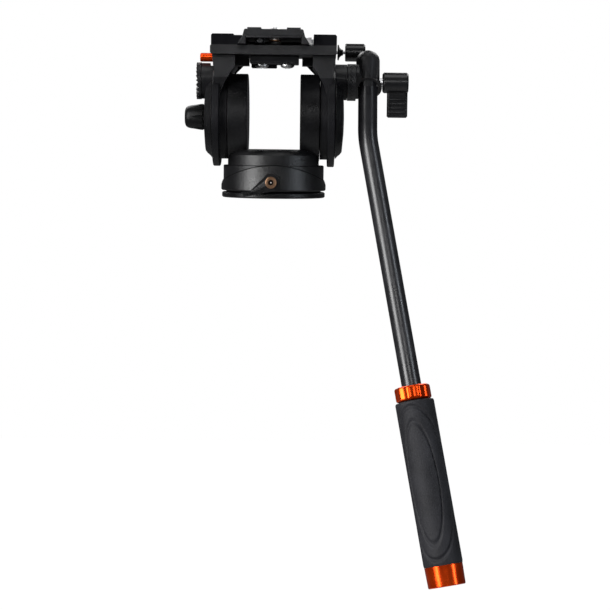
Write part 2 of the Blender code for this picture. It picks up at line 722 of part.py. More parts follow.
def yoke():
    neck_top = WINDOW_FLOOR_HEIGHT - NECK_CHAMFER_RISE
    profile = [
        (0, WINDOW_FLOOR_HEIGHT),
        (NECK_RADIUS - NECK_CHAMFER_RUN, WINDOW_FLOOR_HEIGHT),
        (NECK_RADIUS - NECK_CHAMFER_RUN / 4, neck_top + NECK_CHAMFER_RISE / 2),
        (NECK_RADIUS, neck_top),
        (NECK_RADIUS, FOOT_HEIGHT),
        (FOOT_RADIUS - EDGE_BREAK, FOOT_HEIGHT),
        (FOOT_RADIUS, FOOT_HEIGHT - EDGE_BREAK),
        (FOOT_RADIUS, FOOT_BOTTOM),
        (POCKET_RADIUS, FOOT_BOTTOM),
        (POCKET_RADIUS, FOOT_POCKET_HEIGHT),
        (SPINDLE_RADIUS + SEAT_GAP, FOOT_POCKET_HEIGHT),
        (SPINDLE_RADIUS + SEAT_GAP, SPINDLE_TOP + SEAT_GAP),
        (0, SPINDLE_TOP + SEAT_GAP),
    ]
    part = turned("yoke", profile, parent=PAN_FRAME)
    flat_top = WAVE_MEAN_HEIGHT
    skirt = ring("shell_seat", FOOT_SKIRT_RADIUS, FOOT_RADIUS + OVERRUN, 0.0, flat_top, parent=PAN_FRAME)
    cut(part, wavy(skirt, flat_top, SEAT_GAP))
    cut(part, neck_side(-1), neck_side(1))
    joined(part, drum(-1), drum(1))
    cut(part, drum_cavity(-1), drum_cavity(1))
    cut(part, pan_lock_bore("yoke_lock_bore"))
    return cast_metal(part)


def drop_outline():
    """The lever's outline round its pivot: an arc, and two tangents that run to the tip."""
    radius = PAN_LOCK_BOSS_RADIUS
    along = math.atan2(-LEVER_DROP, -LEVER_REACH)
    across = along + math.pi / 2
    half = LEVER_TIP_WIDTH / 2
    tips = []
    for side in (1, -1):
        x = -LEVER_REACH + side * half * math.cos(across)
        z = -LEVER_DROP + side * half * math.sin(across)
        tips.append((x, z))
    lean = math.acos((radius - half) / math.hypot(LEVER_REACH, LEVER_DROP))
    points = []
    sweep = 2 * (math.pi - lean)
    for step in range(MEDIUM_STEPS // 2 + 1):
        angle = along - lean - sweep * step / (MEDIUM_STEPS // 2)
        points.append((radius * math.cos(angle), radius * math.sin(angle)))
    points.append(tips[1] if tips[1][1] > tips[0][1] else tips[0])
    points.append(tips[0] if tips[1][1] > tips[0][1] else tips[1])
    return points


def pan_lock():
    start = PAN_LOCK_BOSS_REACH + SEAT_GAP
    end = start + LEVER_THICKNESS
    lever = prism("pan_lock_lever", drop_outline(), -end, -start, PAN_LOCK_FRAME)
    radius = PAN_LOCK_SCREW_RADIUS + SEAT_GAP
    hole = rod("lever_hole", radius, start - OVERRUN, end + OVERRUN, parent=PAN_LOCK_FRAME)
    cut(lever, toward_operator(hole, 0, 0))
    cast_metal(lever)
    under_head = end + SEAT_GAP
    top = under_head + PAN_LOCK_HEAD_HEIGHT
    tip = SPINDLE_FLANGE_RADIUS + SEAT_GAP + BRAKE_SHOE_LENGTH + BRAKE_SHOE_TRAVEL_ROOM
    profile = [
        (0, top),
        (PAN_LOCK_HEAD_RADIUS - EDGE_BREAK, top),
        (PAN_LOCK_HEAD_RADIUS, top - EDGE_BREAK),
        (PAN_LOCK_HEAD_RADIUS, under_head),
        (PAN_LOCK_SCREW_RADIUS, under_head),
        (PAN_LOCK_SCREW_RADIUS, tip),
        (0, tip),
    ]
    screw = turned("pan_lock_screw", profile, SMALL_STEPS, PAN_LOCK_FRAME)
    toward_operator(screw, 0, 0)
    depth = top - HEX_SOCKET_DEPTH
    socket = rod("hex_socket", HEX_SOCKET_RADIUS, depth, top + OVERRUN, HEX_SIDES, PAN_LOCK_FRAME)
    cut(screw, toward_operator(socket, 0, 0))
    bare_metal(screw, BRONZE)


def brake_shoe():
    start = SPINDLE_FLANGE_RADIUS + SEAT_GAP
    shoe = rod("pan_brake_shoe", BRAKE_SHOE_RADIUS, start, start + BRAKE_SHOE_LENGTH, parent=PAN_FRAME)
    bare_metal(toward_operator(shoe, PAN_LOCK_OFFSET, PAN_LOCK_HEIGHT), BRASS)


def arm_outline(side):
    """The arm seen by the operator, from the platform down to the flange, as (x, z) points."""
    inner_top = ARM_OUTER_TOP - ARM_TOP_WIDTH
    drop = ARM_TOP_HEIGHT - TILT_AXIS_HEIGHT
    spread = FLANGE_INNER - inner_top
    inner_edge = [
        (inner_top + spread * across, ARM_TOP_HEIGHT - drop * down)
        for down, across in zip(ARM_DROP_SHARES, ARM_SPREAD_SHARES)
    ]
    outer_edge = [
        (ARM_WAIST_OUTER, TILT_AXIS_HEIGHT),
        (ARM_WAIST_OUTER, ARM_WAIST_HEIGHT),
        (ARM_OUTER_TOP, ARM_TOP_HEIGHT - EDGE_BREAK),
        (ARM_OUTER_TOP, ARM_TOP_HEIGHT),
    ]
    return [(side * x, z) for x, z in inner_edge + outer_edge]


def tilt_arm(side):
    name = "right" if side > 0 else "left"
    rim = FLANGE_INNER + FLANGE_THICKNESS - FLANGE_RIM_DROP
    profile = [
        (0, FLANGE_OUTER),
        (COVER_RADIUS, FLANGE_OUTER),
        (FLANGE_RADIUS - EDGE_BREAK, rim),
        (FLANGE_RADIUS, rim - EDGE_BREAK),
        (FLANGE_RADIUS, FLANGE_INNER + EDGE_BREAK),
        (FLANGE_RADIUS - EDGE_BREAK, FLANGE_INNER),
        (SHOULDER_RADIUS, FLANGE_INNER),
        (SHOULDER_RADIUS, SHOULDER_INNER),
        (0, SHOULDER_INNER),
    ]
    part = along_x(turned(name + "_arm", profile, parent=TILT_FRAME), side, 0)
    cheek = prism(name + "_cheek", arm_outline(side), -ARM_HALF_DEPTH, ARM_HALF_DEPTH, TILT_FRAME)
    cheek.location.z -= TILT_AXIS_HEIGHT
    room_radius = DRUM_RADIUS + RUNNING_GAP
    room = rod(name + "_drum_room", room_radius, 0.0, SHOULDER_INNER, LARGE_STEPS, TILT_FRAME)
    cut(cheek, along_x(room, side, 0))
    rise = ROSETTE_HEIGHT - TILT_AXIS_HEIGHT
    boss_start = FLANGE_INNER + OVERRUN
    boss = rod(
        name + "_rosette_boss", ROSETTE_BOSS_RADIUS, boss_start, ROSETTE_BOSS_END, MEDIUM_STEPS, TILT_FRAME
    )
    joined(part, cheek, along_x(boss, side, rise))
    bore_end = SHOULDER_INNER + AXLE_IN_ARM + SEAT_GAP
    bore = rod(name + "_arm_bore", AXLE_RADIUS + SEAT_GAP, 0.0, bore_end, parent=TILT_FRAME)
    cut(part, along_x(bore, side, 0))
    hole_start = ROSETTE_BOSS_END - BAR_BOLT_IN_ARM - SEAT_GAP
    hole_end = ROSETTE_BOSS_END + OVERRUN
    hole = rod(name + "_bolt_hole", BOLT_HOLE_RADIUS, hole_start, hole_end, parent=TILT_FRAME)
    cut(part, along_x(hole, side, rise))
    if side < 0:
        low = (-PLATFORM_HALF_WIDTH - OVERRUN, -BUTTON_BOSS_HALF_WIDTH - SEAT_GAP)
        high = (-BUTTON_BOSS_END, BUTTON_BOSS_HALF_WIDTH + SEAT_GAP)
        drop = PLATFORM_UNDERSIDE - BUTTON_BOSS_DROP - SEAT_GAP - TILT_AXIS_HEIGHT
        screw_radius = TILT_KNOB_SCREW_RADIUS + SEAT_GAP
        hole_start = bore_end - OVERRUN
        screw_hole = rod("tilt_screw_hole", screw_radius, hole_start, COVER_OUTER, parent=TILT_FRAME)
        cut(part, along_x(screw_hole, side, 0))
    else:
        low = (LOCK_BOSS_END, PLATE_LOCK_DEPTH - LOCK_BOSS_HALF_WIDTH - SEAT_GAP)
        high = (PLATFORM_HALF_WIDTH + OVERRUN, ARM_HALF_DEPTH + OVERRUN)
        drop = PLATFORM_UNDERSIDE - LOCK_BOSS_DROP - SEAT_GAP - TILT_AXIS_HEIGHT
    top = PLATFORM_UNDERSIDE - TILT_AXIS_HEIGHT + OVERRUN
    room = block(name + "_platform_boss_room", (*low, drop), (*high, top), TILT_FRAME)
    cut(part if side < 0 else cheek, room)
    return cast_metal(part)


def side_cover(side):
    name = "right_cover" if side > 0 else "left_cover"
    bevel_run = COVER_RADIUS - COVER_FACE_RADIUS
    profile = [
        (0, COVER_CROWN),
        (COVER_FACE_RADIUS / 2, COVER_CROWN - (COVER_CROWN - COVER_FACE_EDGE) / 4),
        (COVER_FACE_RADIUS, COVER_FACE_EDGE),
    ]
    for out, up in COVER_BEVEL_SHARES:
        profile.append((COVER_FACE_RADIUS + out * bevel_run, up * COVER_FACE_EDGE))
    profile = [(radius, COVER_INNER + height) for radius, height in profile + [(0, 0)]]
    part = along_x(turned(name, profile, parent=TILT_FRAME), side, 0)
    rise = ROSETTE_HEIGHT - TILT_AXIS_HEIGHT
    beyond = COVER_OUTER + OVERRUN
    room_radius = ROSETTE_BOSS_RADIUS + SEAT_GAP
    room = rod(name + "_boss_room", room_radius, FLANGE_INNER, beyond, MEDIUM_STEPS, TILT_FRAME)
    cut(part, along_x(room, side, rise))
    if side < 0:
        screw_radius = TILT_KNOB_SCREW_RADIUS + SEAT_GAP
        hole = rod("cover_screw_hole", screw_radius, FLANGE_INNER, beyond, parent=TILT_FRAME)
        cut(part, along_x(hole, side, 0))
    return cast_metal(part)


def axle(side):
    name = "right" if side > 0 else "left"
    end = SHOULDER_INNER + AXLE_IN_ARM
    pin = rod(name + "_axle", AXLE_RADIUS, BUSH_START, end, SMALL_STEPS, TILT_FRAME, EDGE_BREAK)
    bare_metal(along_x(pin, side, 0), STEEL)
    inner = AXLE_RADIUS + SEAT_GAP
    bush_end = BUSH_START + BUSH_LENGTH
    bush = ring(name + "_bush", inner, BUSH_RADIUS, BUSH_START, bush_end, SMALL_STEPS, PAN_FRAME)
    bare_metal(along_x(bush, side, TILT_AXIS_HEIGHT), BRONZE)


def drag_cartridge():
    end = SHOULDER_INNER - SEAT_GAP
    start = end - DRAG_CARTRIDGE_WIDTH
    inner = AXLE_RADIUS + SEAT_GAP
    outer = DRUM_CAVITY_RADIUS - RUNNING_GAP
    neck = outer - 2 * OVERRUN
    third = DRAG_CARTRIDGE_WIDTH / 3
    profile = [(inner, end), (outer, end), (outer, end - third), (neck, end - third)]
    profile += [(neck, start + third), (outer, start + third), (outer, start), (inner, start)]
    part = turned("tilt_drag_cartridge", profile, MEDIUM_STEPS, TILT_FRAME)
    bare_metal(along_x(part, 1, 0), BRASS)


def coil(radius, start, end, turns, points_per_turn):
    """Points on a helix round the X axis."""
    count = turns * points_per_turn
    points = []
    for step in range(count + 1):
        angle = 2 * math.pi * step / points_per_turn
        x = start + (end - start) * step / count
        points.append((x, radius * math.sin(angle), radius * math.cos(angle)))
    return points


def counterbalance_spring():
    start = -(CAVITY_FLOOR + SPRING_WIRE_RADIUS + SEAT_GAP)
    end = -(DRUM_OUTER - SPRING_WIRE_RADIUS)
    points = coil(SPRING_COIL_RADIUS, start, end, SPRING_TURNS, SPRING_POINTS_PER_TURN)
    part = wire("counterbalance_spring", points, SPRING_WIRE_RADIUS, 1, PAN_FRAME)
    part.location = (0, 0, TILT_AXIS_HEIGHT)
    bare_metal(part, STEEL)


def rosette(name, side, facing, back, plane, parent):
    """A ring with radial teeth, which look away from the middle where facing is 1, and to it where -1."""
    shape = bmesh.new()
    stations = 2 * ROSETTE_TEETH
    rows = []
    for step in range(stations):
        angle = 2 * math.pi * step / stations
        ridge = facing if step % 2 == 0 else -facing
        rise = ROSETTE_TOOTH_HALF_HEIGHT * ridge * facing
        places = [
            (ROSETTE_RADIUS, plane + rise),
            (ROSETTE_BORE, plane + rise * ROSETTE_INNER_TOOTH_SHARE),
            (ROSETTE_BORE, back),
            (ROSETTE_RADIUS, back),
        ]
        cosine = math.cos(angle)
        sine = math.sin(angle)
        rows.append([shape.verts.new((r * cosine, r * sine, h)) for r, h in places])
    for row, after in zip(rows, rows[1:] + rows[:1]):
        for low in range(4):
            high = (low + 1) % 4
            shape.faces.new((row[low], after[low], after[high], row[high]))
    bmesh.ops.recalc_face_normals(shape, faces=shape.faces)
    part = object_from(name, shape, parent)
    return along_x(part, side, 0)


def head_rosettes():
    rise = ROSETTE_HEIGHT - TILT_AXIS_HEIGHT
    for side, name in ((-1, "left_rosette"), (1, "right_rosette")):
        part = rosette(name, side, 1, ROSETTE_BACK, ROSETTE_MESH_PLANE, TILT_FRAME)
        part.location.z = rise
        cast_metal(part)


def tilt_knob():
    start = COVER_OUTER + SEAT_GAP
    end = start + TILT_KNOB_LENGTH
    screw_end = end - TILT_KNOB_LENGTH / 3
    hole = TILT_KNOB_SCREW_RADIUS + SEAT_GAP
    profile = [(0, end)]
    for out, along in TILT_KNOB_SHARES:
        profile.append((out * TILT_KNOB_RADIUS, start + along * TILT_KNOB_LENGTH))
    profile += [(TILT_KNOB_RADIUS - EDGE_BREAK, start), (hole, start)]
    profile += [(hole, screw_end + SEAT_GAP), (0, screw_end + SEAT_GAP)]
    knob = along_x(turned("tilt_lock_knob", profile, MEDIUM_STEPS, TILT_KNOB_FRAME), -1, 0)
    for number in range(TILT_KNOB_FLUTES):
        angle = 2 * math.pi * number / TILT_KNOB_FLUTES
        name = f"knob_flute_{number}"
        radius = TILT_KNOB_FLUTE_RADIUS
        flute = rod(name, radius, start - OVERRUN, end + OVERRUN, FLUTE_STEPS, TILT_KNOB_FRAME)
        along_x(flute, -1, TILT_KNOB_RADIUS * math.cos(angle), TILT_KNOB_RADIUS * math.sin(angle))
        cut(knob, flute)
    finish(knob, PLASTIC_BLACK, 0.5)
    tip = SHOULDER_INNER + AXLE_IN_ARM + SEAT_GAP
    screw = rod("tilt_knob_screw", TILT_KNOB_SCREW_RADIUS, tip, screw_end, SMALL_STEPS, TILT_KNOB_FRAME)
    bare_metal(along_x(screw, -1, 0), STEEL)


def flank(height):
    """Half width of the camera plate's side at a height above the plate's underside."""
    share = min(height / PLATE_DOVETAIL_HEIGHT, 1.0)
    return PLATE_BOTTOM_HALF_WIDTH + (PLATE_WAIST_HALF_WIDTH - PLATE_BOTTOM_HALF_WIDTH) * share


def platform_outline():
    """The platform's section: floor, fixed rail with its lip on the left, plain rail on the right."""
    wall = PLATFORM_HALF_WIDTH
    bottom = PLATFORM_UNDERSIDE
    lip_top = CHANNEL_FLOOR + LIP_HEIGHT
    left_wall = wall + PLATFORM_BULGE
    return [
        (-left_wall + PLATFORM_EDGE, bottom),
        (wall - PLATFORM_EDGE, bottom),
        (wall, bottom + PLATFORM_EDGE),
        (wall, RAIL_TOP - PLATFORM_EDGE),
        (wall - PLATFORM_EDGE, RAIL_TOP),
        (RIGHT_RAIL_FACE, RAIL_TOP),
        (RIGHT_RAIL_FACE, CHANNEL_FLOOR),
        (-flank(0.0) - DOVETAIL_SIDE_GAP, CHANNEL_FLOOR),
        (-flank(LIP_HEIGHT) - DOVETAIL_SIDE_GAP, lip_top),
        (-LEFT_RAIL_FACE, lip_top),
        (-LEFT_RAIL_FACE, RAIL_TOP),
        (-wall + PLATFORM_EDGE, RAIL_TOP),
        (-wall, RAIL_TOP - PLATFORM_EDGE),
        (-wall, CHANNEL_FLOOR),
        (-left_wall, CHANNEL_FLOOR - PLATFORM_BULGE),
        (-left_wall, bottom + PLATFORM_EDGE),
    ]


def platform():
    part = prism("platform", platform_outline(), -PLATFORM_HALF_LENGTH, PLATFORM_HALF_LENGTH, TILT_FRAME)
    part.location.z -= TILT_AXIS_HEIGHT
    bottom = PLATFORM_UNDERSIDE - TILT_AXIS_HEIGHT
    floor = CHANNEL_FLOOR - TILT_AXIS_HEIGHT
    low = (-PLATFORM_HALF_WIDTH, -BUTTON_BOSS_HALF_WIDTH, bottom - BUTTON_BOSS_DROP)
    high = (-BUTTON_BOSS_END, BUTTON_BOSS_HALF_WIDTH, bottom + PLATFORM_THICKNESS / 2)
    joined(part, block("button_boss", low, high, TILT_FRAME))
    low = (LOCK_BOSS_END, PLATE_LOCK_DEPTH - LOCK_BOSS_HALF_WIDTH, bottom - LOCK_BOSS_DROP)
    high = (PLATFORM_HALF_WIDTH, PLATFORM_HALF_LENGTH - EDGE_BREAK, bottom + PLATFORM_THICKNESS / 2)
    joined(part, block("lock_boss", low, high, TILT_FRAME))
    start = PLATFORM_HALF_WIDTH + OVERRUN
    inner = PLATFORM_HALF_WIDTH - BUTTON_LENGTH + BUTTON_PROUD - BUTTON_TRAVEL_ROOM
    rise = BUTTON_HEIGHT - TILT_AXIS_HEIGHT
    hole = rod("button_bore", BUTTON_RADIUS + SEAT_GAP, inner, start, parent=TILT_FRAME)
    rod_start = BUTTON_BOSS_END + SEAT_GAP
    slim = rod("button_rod_bore", BUTTON_ROD_RADIUS + SEAT_GAP, rod_start, start, parent=TILT_FRAME)
    cut(part, along_x(hole, -1, rise), along_x(slim, -1, rise))
    rise = PLATE_LOCK_HEIGHT - TILT_AXIS_HEIGHT
    near = JAW_BACK - JAW_TONGUE_WIDTH - RUNNING_GAP
    reach = JAW_TONGUE_HALF_LENGTH + SEAT_GAP
    low = (near, PLATE_LOCK_DEPTH - reach, floor - JAW_TONGUE_DEPTH - SEAT_GAP)
    high = (JAW_BACK + JAW_TRAVEL_ROOM - SEAT_GAP, PLATE_LOCK_DEPTH + reach, floor + OVERRUN)
    hole = rod("lock_bore", PLATE_LOCK_SCREW_RADIUS + SEAT_GAP, JAW_BACK, start, parent=TILT_FRAME)
    cut(part, block("jaw_pocket", low, high, TILT_FRAME), along_x(hole, 1, rise, PLATE_LOCK_DEPTH))
    for side in (-1, 1):
        middle = side * JAW_GUIDE_OFFSET
        reach = JAW_GUIDE_HALF_LENGTH + SEAT_GAP
        low = (RIGHT_RAIL_FACE - RUNNING_GAP, middle - reach, floor + JAW_GUIDE_LIFT - RUNNING_GAP)
        high = (
            RIGHT_RAIL_FACE + JAW_GUIDE_DEPTH + JAW_TRAVEL_ROOM,
            middle + reach,
            floor + JAW_GUIDE_LIFT + JAW_GUIDE_HEIGHT + RUNNING_GAP,
        )
        cut(part, block(f"jaw_guide_pocket_{side}", low, high, TILT_FRAME))
    for side in (-1, 1):
        radius = UNDER_SCREW_SHANK_RADIUS + SEAT_GAP
        name = f"under_screw_hole_{side}"
        shank = rod(name, radius, bottom - OVERRUN, bottom + UNDER_SCREW_SHANK, parent=TILT_FRAME)
        shank.location.x = side * UNDER_SCREW_SPACING / 2
        cut(part, shank)
    return satin_metal(part)


def clamp_jaw():
    """A bar along the right rail whose sloping face bears on the camera plate."""
    bottom = CHANNEL_FLOOR + SEAT_GAP
    top = bottom + JAW_HEIGHT
    outline = [
        (JAW_BACK, bottom),
        (JAW_BACK, top),
        (JAW_BACK - JAW_TOP_WIDTH, top),
        (flank(JAW_HEIGHT) + DOVETAIL_SIDE_GAP, top - EDGE_BREAK),
        (flank(0.0) + DOVETAIL_SIDE_GAP, bottom),
    ]
    part = prism("clamp_jaw", outline, -JAW_HALF_LENGTH, JAW_HALF_LENGTH, JAW_FRAME)
    part.location.z -= TILT_AXIS_HEIGHT
    floor = CHANNEL_FLOOR - TILT_AXIS_HEIGHT
    low = (JAW_BACK - JAW_TONGUE_WIDTH, PLATE_LOCK_DEPTH - JAW_TONGUE_HALF_LENGTH, floor - JAW_TONGUE_DEPTH)
    high = (JAW_BACK, JAW_HALF_LENGTH, floor)
    tongue = block("jaw_tongue", low, high, JAW_FRAME)
    low = (JAW_BACK - JAW_NECK_SHARE * JAW_FOOT_WIDTH, low[1] + EDGE_BREAK, floor - JAW_TONGUE_DEPTH / 2)
    high = (JAW_BACK, JAW_HALF_LENGTH - EDGE_BREAK, floor + JAW_HEIGHT / 2)
    joined(part, tongue, block("jaw_neck", low, high, JAW_FRAME))
    for side in (-1, 1):
        middle = side * JAW_GUIDE_OFFSET
        low = (JAW_BACK - EDGE_BREAK, middle - JAW_GUIDE_HALF_LENGTH, floor + JAW_GUIDE_LIFT)
        high = (
            RIGHT_RAIL_FACE + JAW_GUIDE_DEPTH,
            middle + JAW_GUIDE_HALF_LENGTH,
            floor + JAW_GUIDE_LIFT + JAW_GUIDE_HEIGHT,
        )
        joined(part, block(f"jaw_guide_{side}", low, high, JAW_FRAME))
    near = JAW_BACK - JAW_TONGUE_WIDTH - OVERRUN
    radius = PLATE_LOCK_SCREW_RADIUS + SEAT_GAP
    hole = rod("jaw_screw_hole", radius, near, JAW_BACK + OVERRUN, parent=JAW_FRAME)
    cut(part, along_x(hole, 1, PLATE_LOCK_HEIGHT - TILT_AXIS_HEIGHT, PLATE_LOCK_DEPTH))
    bare_metal(part, STEEL)


def plate_lock():
    collar_end = PLATE_LOCK_COLLAR_END
    bore = PLATE_LOCK_SCREW_RADIUS + SEAT_GAP
    radius = PLATE_LOCK_COLLAR_RADIUS
    waist = bore + EDGE_BREAK
    profile = [
        (bore, collar_end),
        (waist, collar_end),
        (waist + (radius - waist) / 8, collar_end - PLATE_LOCK_COLLAR_LENGTH / 3),
        (waist + (radius - waist) / 2, collar_end - 2 * PLATE_LOCK_COLLAR_LENGTH / 3),
        (radius, PLATE_LOCK_COLLAR_START + 2 * EDGE_BREAK),
        (radius, PLATE_LOCK_COLLAR_START),
        (bore, PLATE_LOCK_COLLAR_START),
    ]
    collar = turned("plate_lock_collar", profile, SMALL_STEPS, PLATE_LOCK_FRAME)
    cast_metal(along_x(collar, 1, 0))
    end = PLATE_LOCK_KNOB_START + PLATE_LOCK_KNOB_LENGTH
    screw_end = end - PLATE_LOCK_KNOB_LENGTH / 3
    tip = JAW_BACK - JAW_TONGUE_WIDTH
    screw = rod("plate_lock_screw", PLATE_LOCK_SCREW_RADIUS, tip, screw_end, parent=PLATE_LOCK_FRAME)
    bare_metal(along_x(screw, 1, 0), STEEL)
    radius = PLATE_LOCK_KNOB_RADIUS
    profile = [
        (0, end),
        (radius - 2 * EDGE_BREAK, end),
        (radius, end - 2 * EDGE_BREAK),
        (radius, PLATE_LOCK_KNOB_START + EDGE_BREAK),
        (radius - EDGE_BREAK, PLATE_LOCK_KNOB_START),
        (bore, PLATE_LOCK_KNOB_START),
        (bore, screw_end + SEAT_GAP),
        (0, screw_end + SEAT_GAP),
    ]
    knob = turned("plate_lock_knob", profile, MEDIUM_STEPS, PLATE_LOCK_FRAME)
    finish(along_x(knob, 1, 0), PLASTIC_BLACK, 0.45)


def safety_button():
    end = PLATFORM_HALF_WIDTH + BUTTON_PROUD
    start = end - BUTTON_LENGTH
    button = rod("safety_button", BUTTON_RADIUS, start, end, SMALL_STEPS, BUTTON_FRAME, EDGE_BREAK)
    finish(along_x(button, -1, 0), ANODISED_ORANGE, 0.3)
    pin_tip = BUTTON_BOSS_END + SEAT_GAP + BUTTON_TRAVEL_ROOM
    pin = rod("safety_pin", BUTTON_ROD_RADIUS, pin_tip, start - SEAT_GAP, parent=BUTTON_FRAME)
    bare_metal(along_x(pin, -1, 0), STEEL)
    inner = start - BUTTON_TRAVEL_ROOM
    low = -(start - SEAT_GAP - BUTTON_SPRING_WIRE)
    high = -(inner + SEAT_GAP + BUTTON_SPRING_WIRE)
    points = coil(BUTTON_SPRING_RADIUS, low, high, BUTTON_SPRING_TURNS, SPRING_POINTS_PER_TURN)
    spring = wire("safety_spring", points, BUTTON_SPRING_WIRE, 0, TILT_FRAME)
    spring.location.z = BUTTON_HEIGHT - TILT_AXIS_HEIGHT
    bare_metal(spring, STEEL)


def under_cover():
    top = PLATFORM_UNDERSIDE - TILT_AXIS_HEIGHT - SEAT_GAP
    bottom = top - UNDER_COVER_THICKNESS
    low = (-UNDER_COVER_HALF_WIDTH, -UNDER_COVER_HALF_LENGTH, bottom)
    high = (UNDER_COVER_HALF_WIDTH, UNDER_COVER_HALF_LENGTH, top)
    plate = block("lock_cover", low, high, TILT_FRAME, EDGE_BREAK)
    inset = UNDER_COVER_HALF_WIDTH - EDGE_BREAK
    low = (-inset, UNDER_SCREW_HEAD_RADIUS + UNDER_STEP_GAP, bottom - UNDER_STEP_DROP)
    high = (UNDER_STEP_END, UNDER_COVER_HALF_LENGTH - EDGE_BREAK, bottom + UNDER_COVER_THICKNESS / 2)
    joined(plate, block("cover_step", low, high, TILT_FRAME, EDGE_BREAK))
    for side, name in ((-1, "left_cover_screw"), (1, "right_cover_screw")):
        x = side * UNDER_SCREW_SPACING / 2
        radius = UNDER_SCREW_SHANK_RADIUS + SEAT_GAP
        hole = rod(name + "_hole", radius, bottom - OVERRUN, top + OVERRUN, parent=TILT_FRAME)
        hole.location.x = x
        cut(plate, hole)
        under_head = bottom - SEAT_GAP
        head = UNDER_SCREW_HEAD_RADIUS
        height = UNDER_SCREW_HEAD_HEIGHT
        profile = [
            (0, top + UNDER_SCREW_SHANK - SEAT_GAP),
            (UNDER_SCREW_SHANK_RADIUS, top + UNDER_SCREW_SHANK - SEAT_GAP),
            (UNDER_SCREW_SHANK_RADIUS, under_head),
            (head, under_head),
            (head, under_head - height / 3),
            (head - height / 4, under_head - 2 * height / 3),
            (head / 2, under_head - height),
            (0, under_head - height),
        ]
        screw = turned(name, profile, SMALL_STEPS, TILT_FRAME)
        screw.location.x = x
        bare_metal(screw, STEEL)
    satin_metal(plate)


def camera_plate():
    outline = [
        (PLATE_BOTTOM_HALF_WIDTH, PLATE_BOTTOM),
        (PLATE_WAIST_HALF_WIDTH, PLATE_WAIST),
        (PLATE_TOP_HALF_WIDTH, PLATE_TOP - EDGE_BREAK),
        (PLATE_TOP_HALF_WIDTH - EDGE_BREAK, PLATE_TOP),
    ]
    outline += [(-x, z) for x, z in reversed(outline)]
    hollow = [
        (-PLATE_HOLLOW_HALF_WIDTH, PLATE_BOTTOM),
        (-PLATE_HOLLOW_HALF_WIDTH, PLATE_HOLLOW_TOP),
        (PLATE_HOLLOW_HALF_WIDTH, PLATE_HOLLOW_TOP),
        (PLATE_HOLLOW_HALF_WIDTH, PLATE_BOTTOM),
    ]
    half = PLATE_LENGTH / 2
    part = prism("camera_plate", outline + hollow, -half, half, PLATE_FRAME)
    part.location.z -= PLATE_BOTTOM
    thickness = PLATE_TOP - PLATE_BOTTOM
    slot_half = PLATE_SLOT_LENGTH / 2 - PLATE_SLOT_HALF_WIDTH
    slot_outline = []
    for end in (1, -1):
        for step in range(SMALL_STEPS // 2 + 1):
            angle = math.pi * step / (SMALL_STEPS // 2) + (0 if end > 0 else math.pi)
            x = PLATE_SLOT_HALF_WIDTH * math.cos(angle)
            slot_outline.append((x, end * slot_half + PLATE_SLOT_HALF_WIDTH * math.sin(angle)))
    slot = prism("plate_slot", slot_outline, 0.0, thickness + OVERRUN, PLATE_FRAME)
    slot.rotation_euler = (0, 0, 0)
    slot.location = (0, 0, (thickness + OVERRUN) / 2)
    cut(part, slot)
    reach = PLATE_HOLLOW_HALF_WIDTH + EDGE_BREAK
    rib_end = half - PLATE_RIB_INSET
    low = (-reach, rib_end - PLATE_RIB_THICKNESS, PLATE_RIB_GAP)
    high = (reach, rib_end, PLATE_HOLLOW_TOP - PLATE_BOTTOM + EDGE_BREAK)
    joined(part, block("plate_rib", low, high, PLATE_FRAME))
    for side, name in ((-1, "left_pad"), (1, "right_pad")):
        near = min(side * PAD_INNER, side * (PAD_INNER + PAD_WIDTH))
        low = (near, -PAD_LENGTH / 2, PAD_BOTTOM - PLATE_BOTTOM)
        high = (near + PAD_WIDTH, PAD_LENGTH / 2, PAD_TOP - PLATE_BOTTOM)
        pad = block(name, low, high, PLATE_FRAME, EDGE_BREAK)
        finish(pad, RUBBER_GREY, 0.8)
        grown_low = [value - SEAT_GAP for value in low]
        grown_high = [high[0] + SEAT_GAP, high[1] + SEAT_GAP, thickness + OVERRUN]
        cut(part, block(name + "_recess", grown_low, grown_high, PLATE_FRAME))
    return satin_metal(part)


def camera_screw():
    washer_top = PLATE_HOLLOW_TOP - PLATE_BOTTOM - SEAT_GAP
    washer_bottom = washer_top - SCREW_WASHER_HEIGHT
    bore = CAMERA_SCREW_RADIUS + SEAT_GAP
    profile = [
        (bore, washer_top),
        (SCREW_WASHER_RADIUS + EDGE_BREAK, washer_top),
        (SCREW_WASHER_RADIUS, washer_bottom + EDGE_BREAK),
        (bore, washer_bottom),
    ]
    washer = turned("screw_washer", profile, SMALL_STEPS, PLATE_FRAME)
    bare_metal(washer, BRONZE)
    top = PLATE_TOP - PLATE_BOTTOM + CAMERA_SCREW_PROUD
    head_top = washer_bottom - SEAT_GAP
    head_bottom = head_top - CAMERA_SCREW_HEAD_HEIGHT
    profile = [
        (0, top),
        (CAMERA_SCREW_RADIUS - EDGE_BREAK, top),
        (CAMERA_SCREW_RADIUS, top - EDGE_BREAK),
        (CAMERA_SCREW_RADIUS, head_top),
        (CAMERA_SCREW_HEAD_RADIUS, head_top),
        (CAMERA_SCREW_HEAD_RADIUS, head_bottom),
        (0, head_bottom),
    ]
    screw = turned("camera_screw", profile, SMALL_STEPS, CAMERA_SCREW_FRAME)
    reach = CAMERA_SCREW_HEAD_RADIUS + OVERRUN
    half = CAMERA_SCREW_SLOT_WIDTH / 2
    low = (-half, -reach, head_bottom - OVERRUN)
    high = (half, reach, head_bottom + CAMERA_SCREW_HEAD_HEIGHT / 2)
    cut(screw, block("screw_slot", low, high, CAMERA_SCREW_FRAME))
    bare_metal(screw, STEEL)


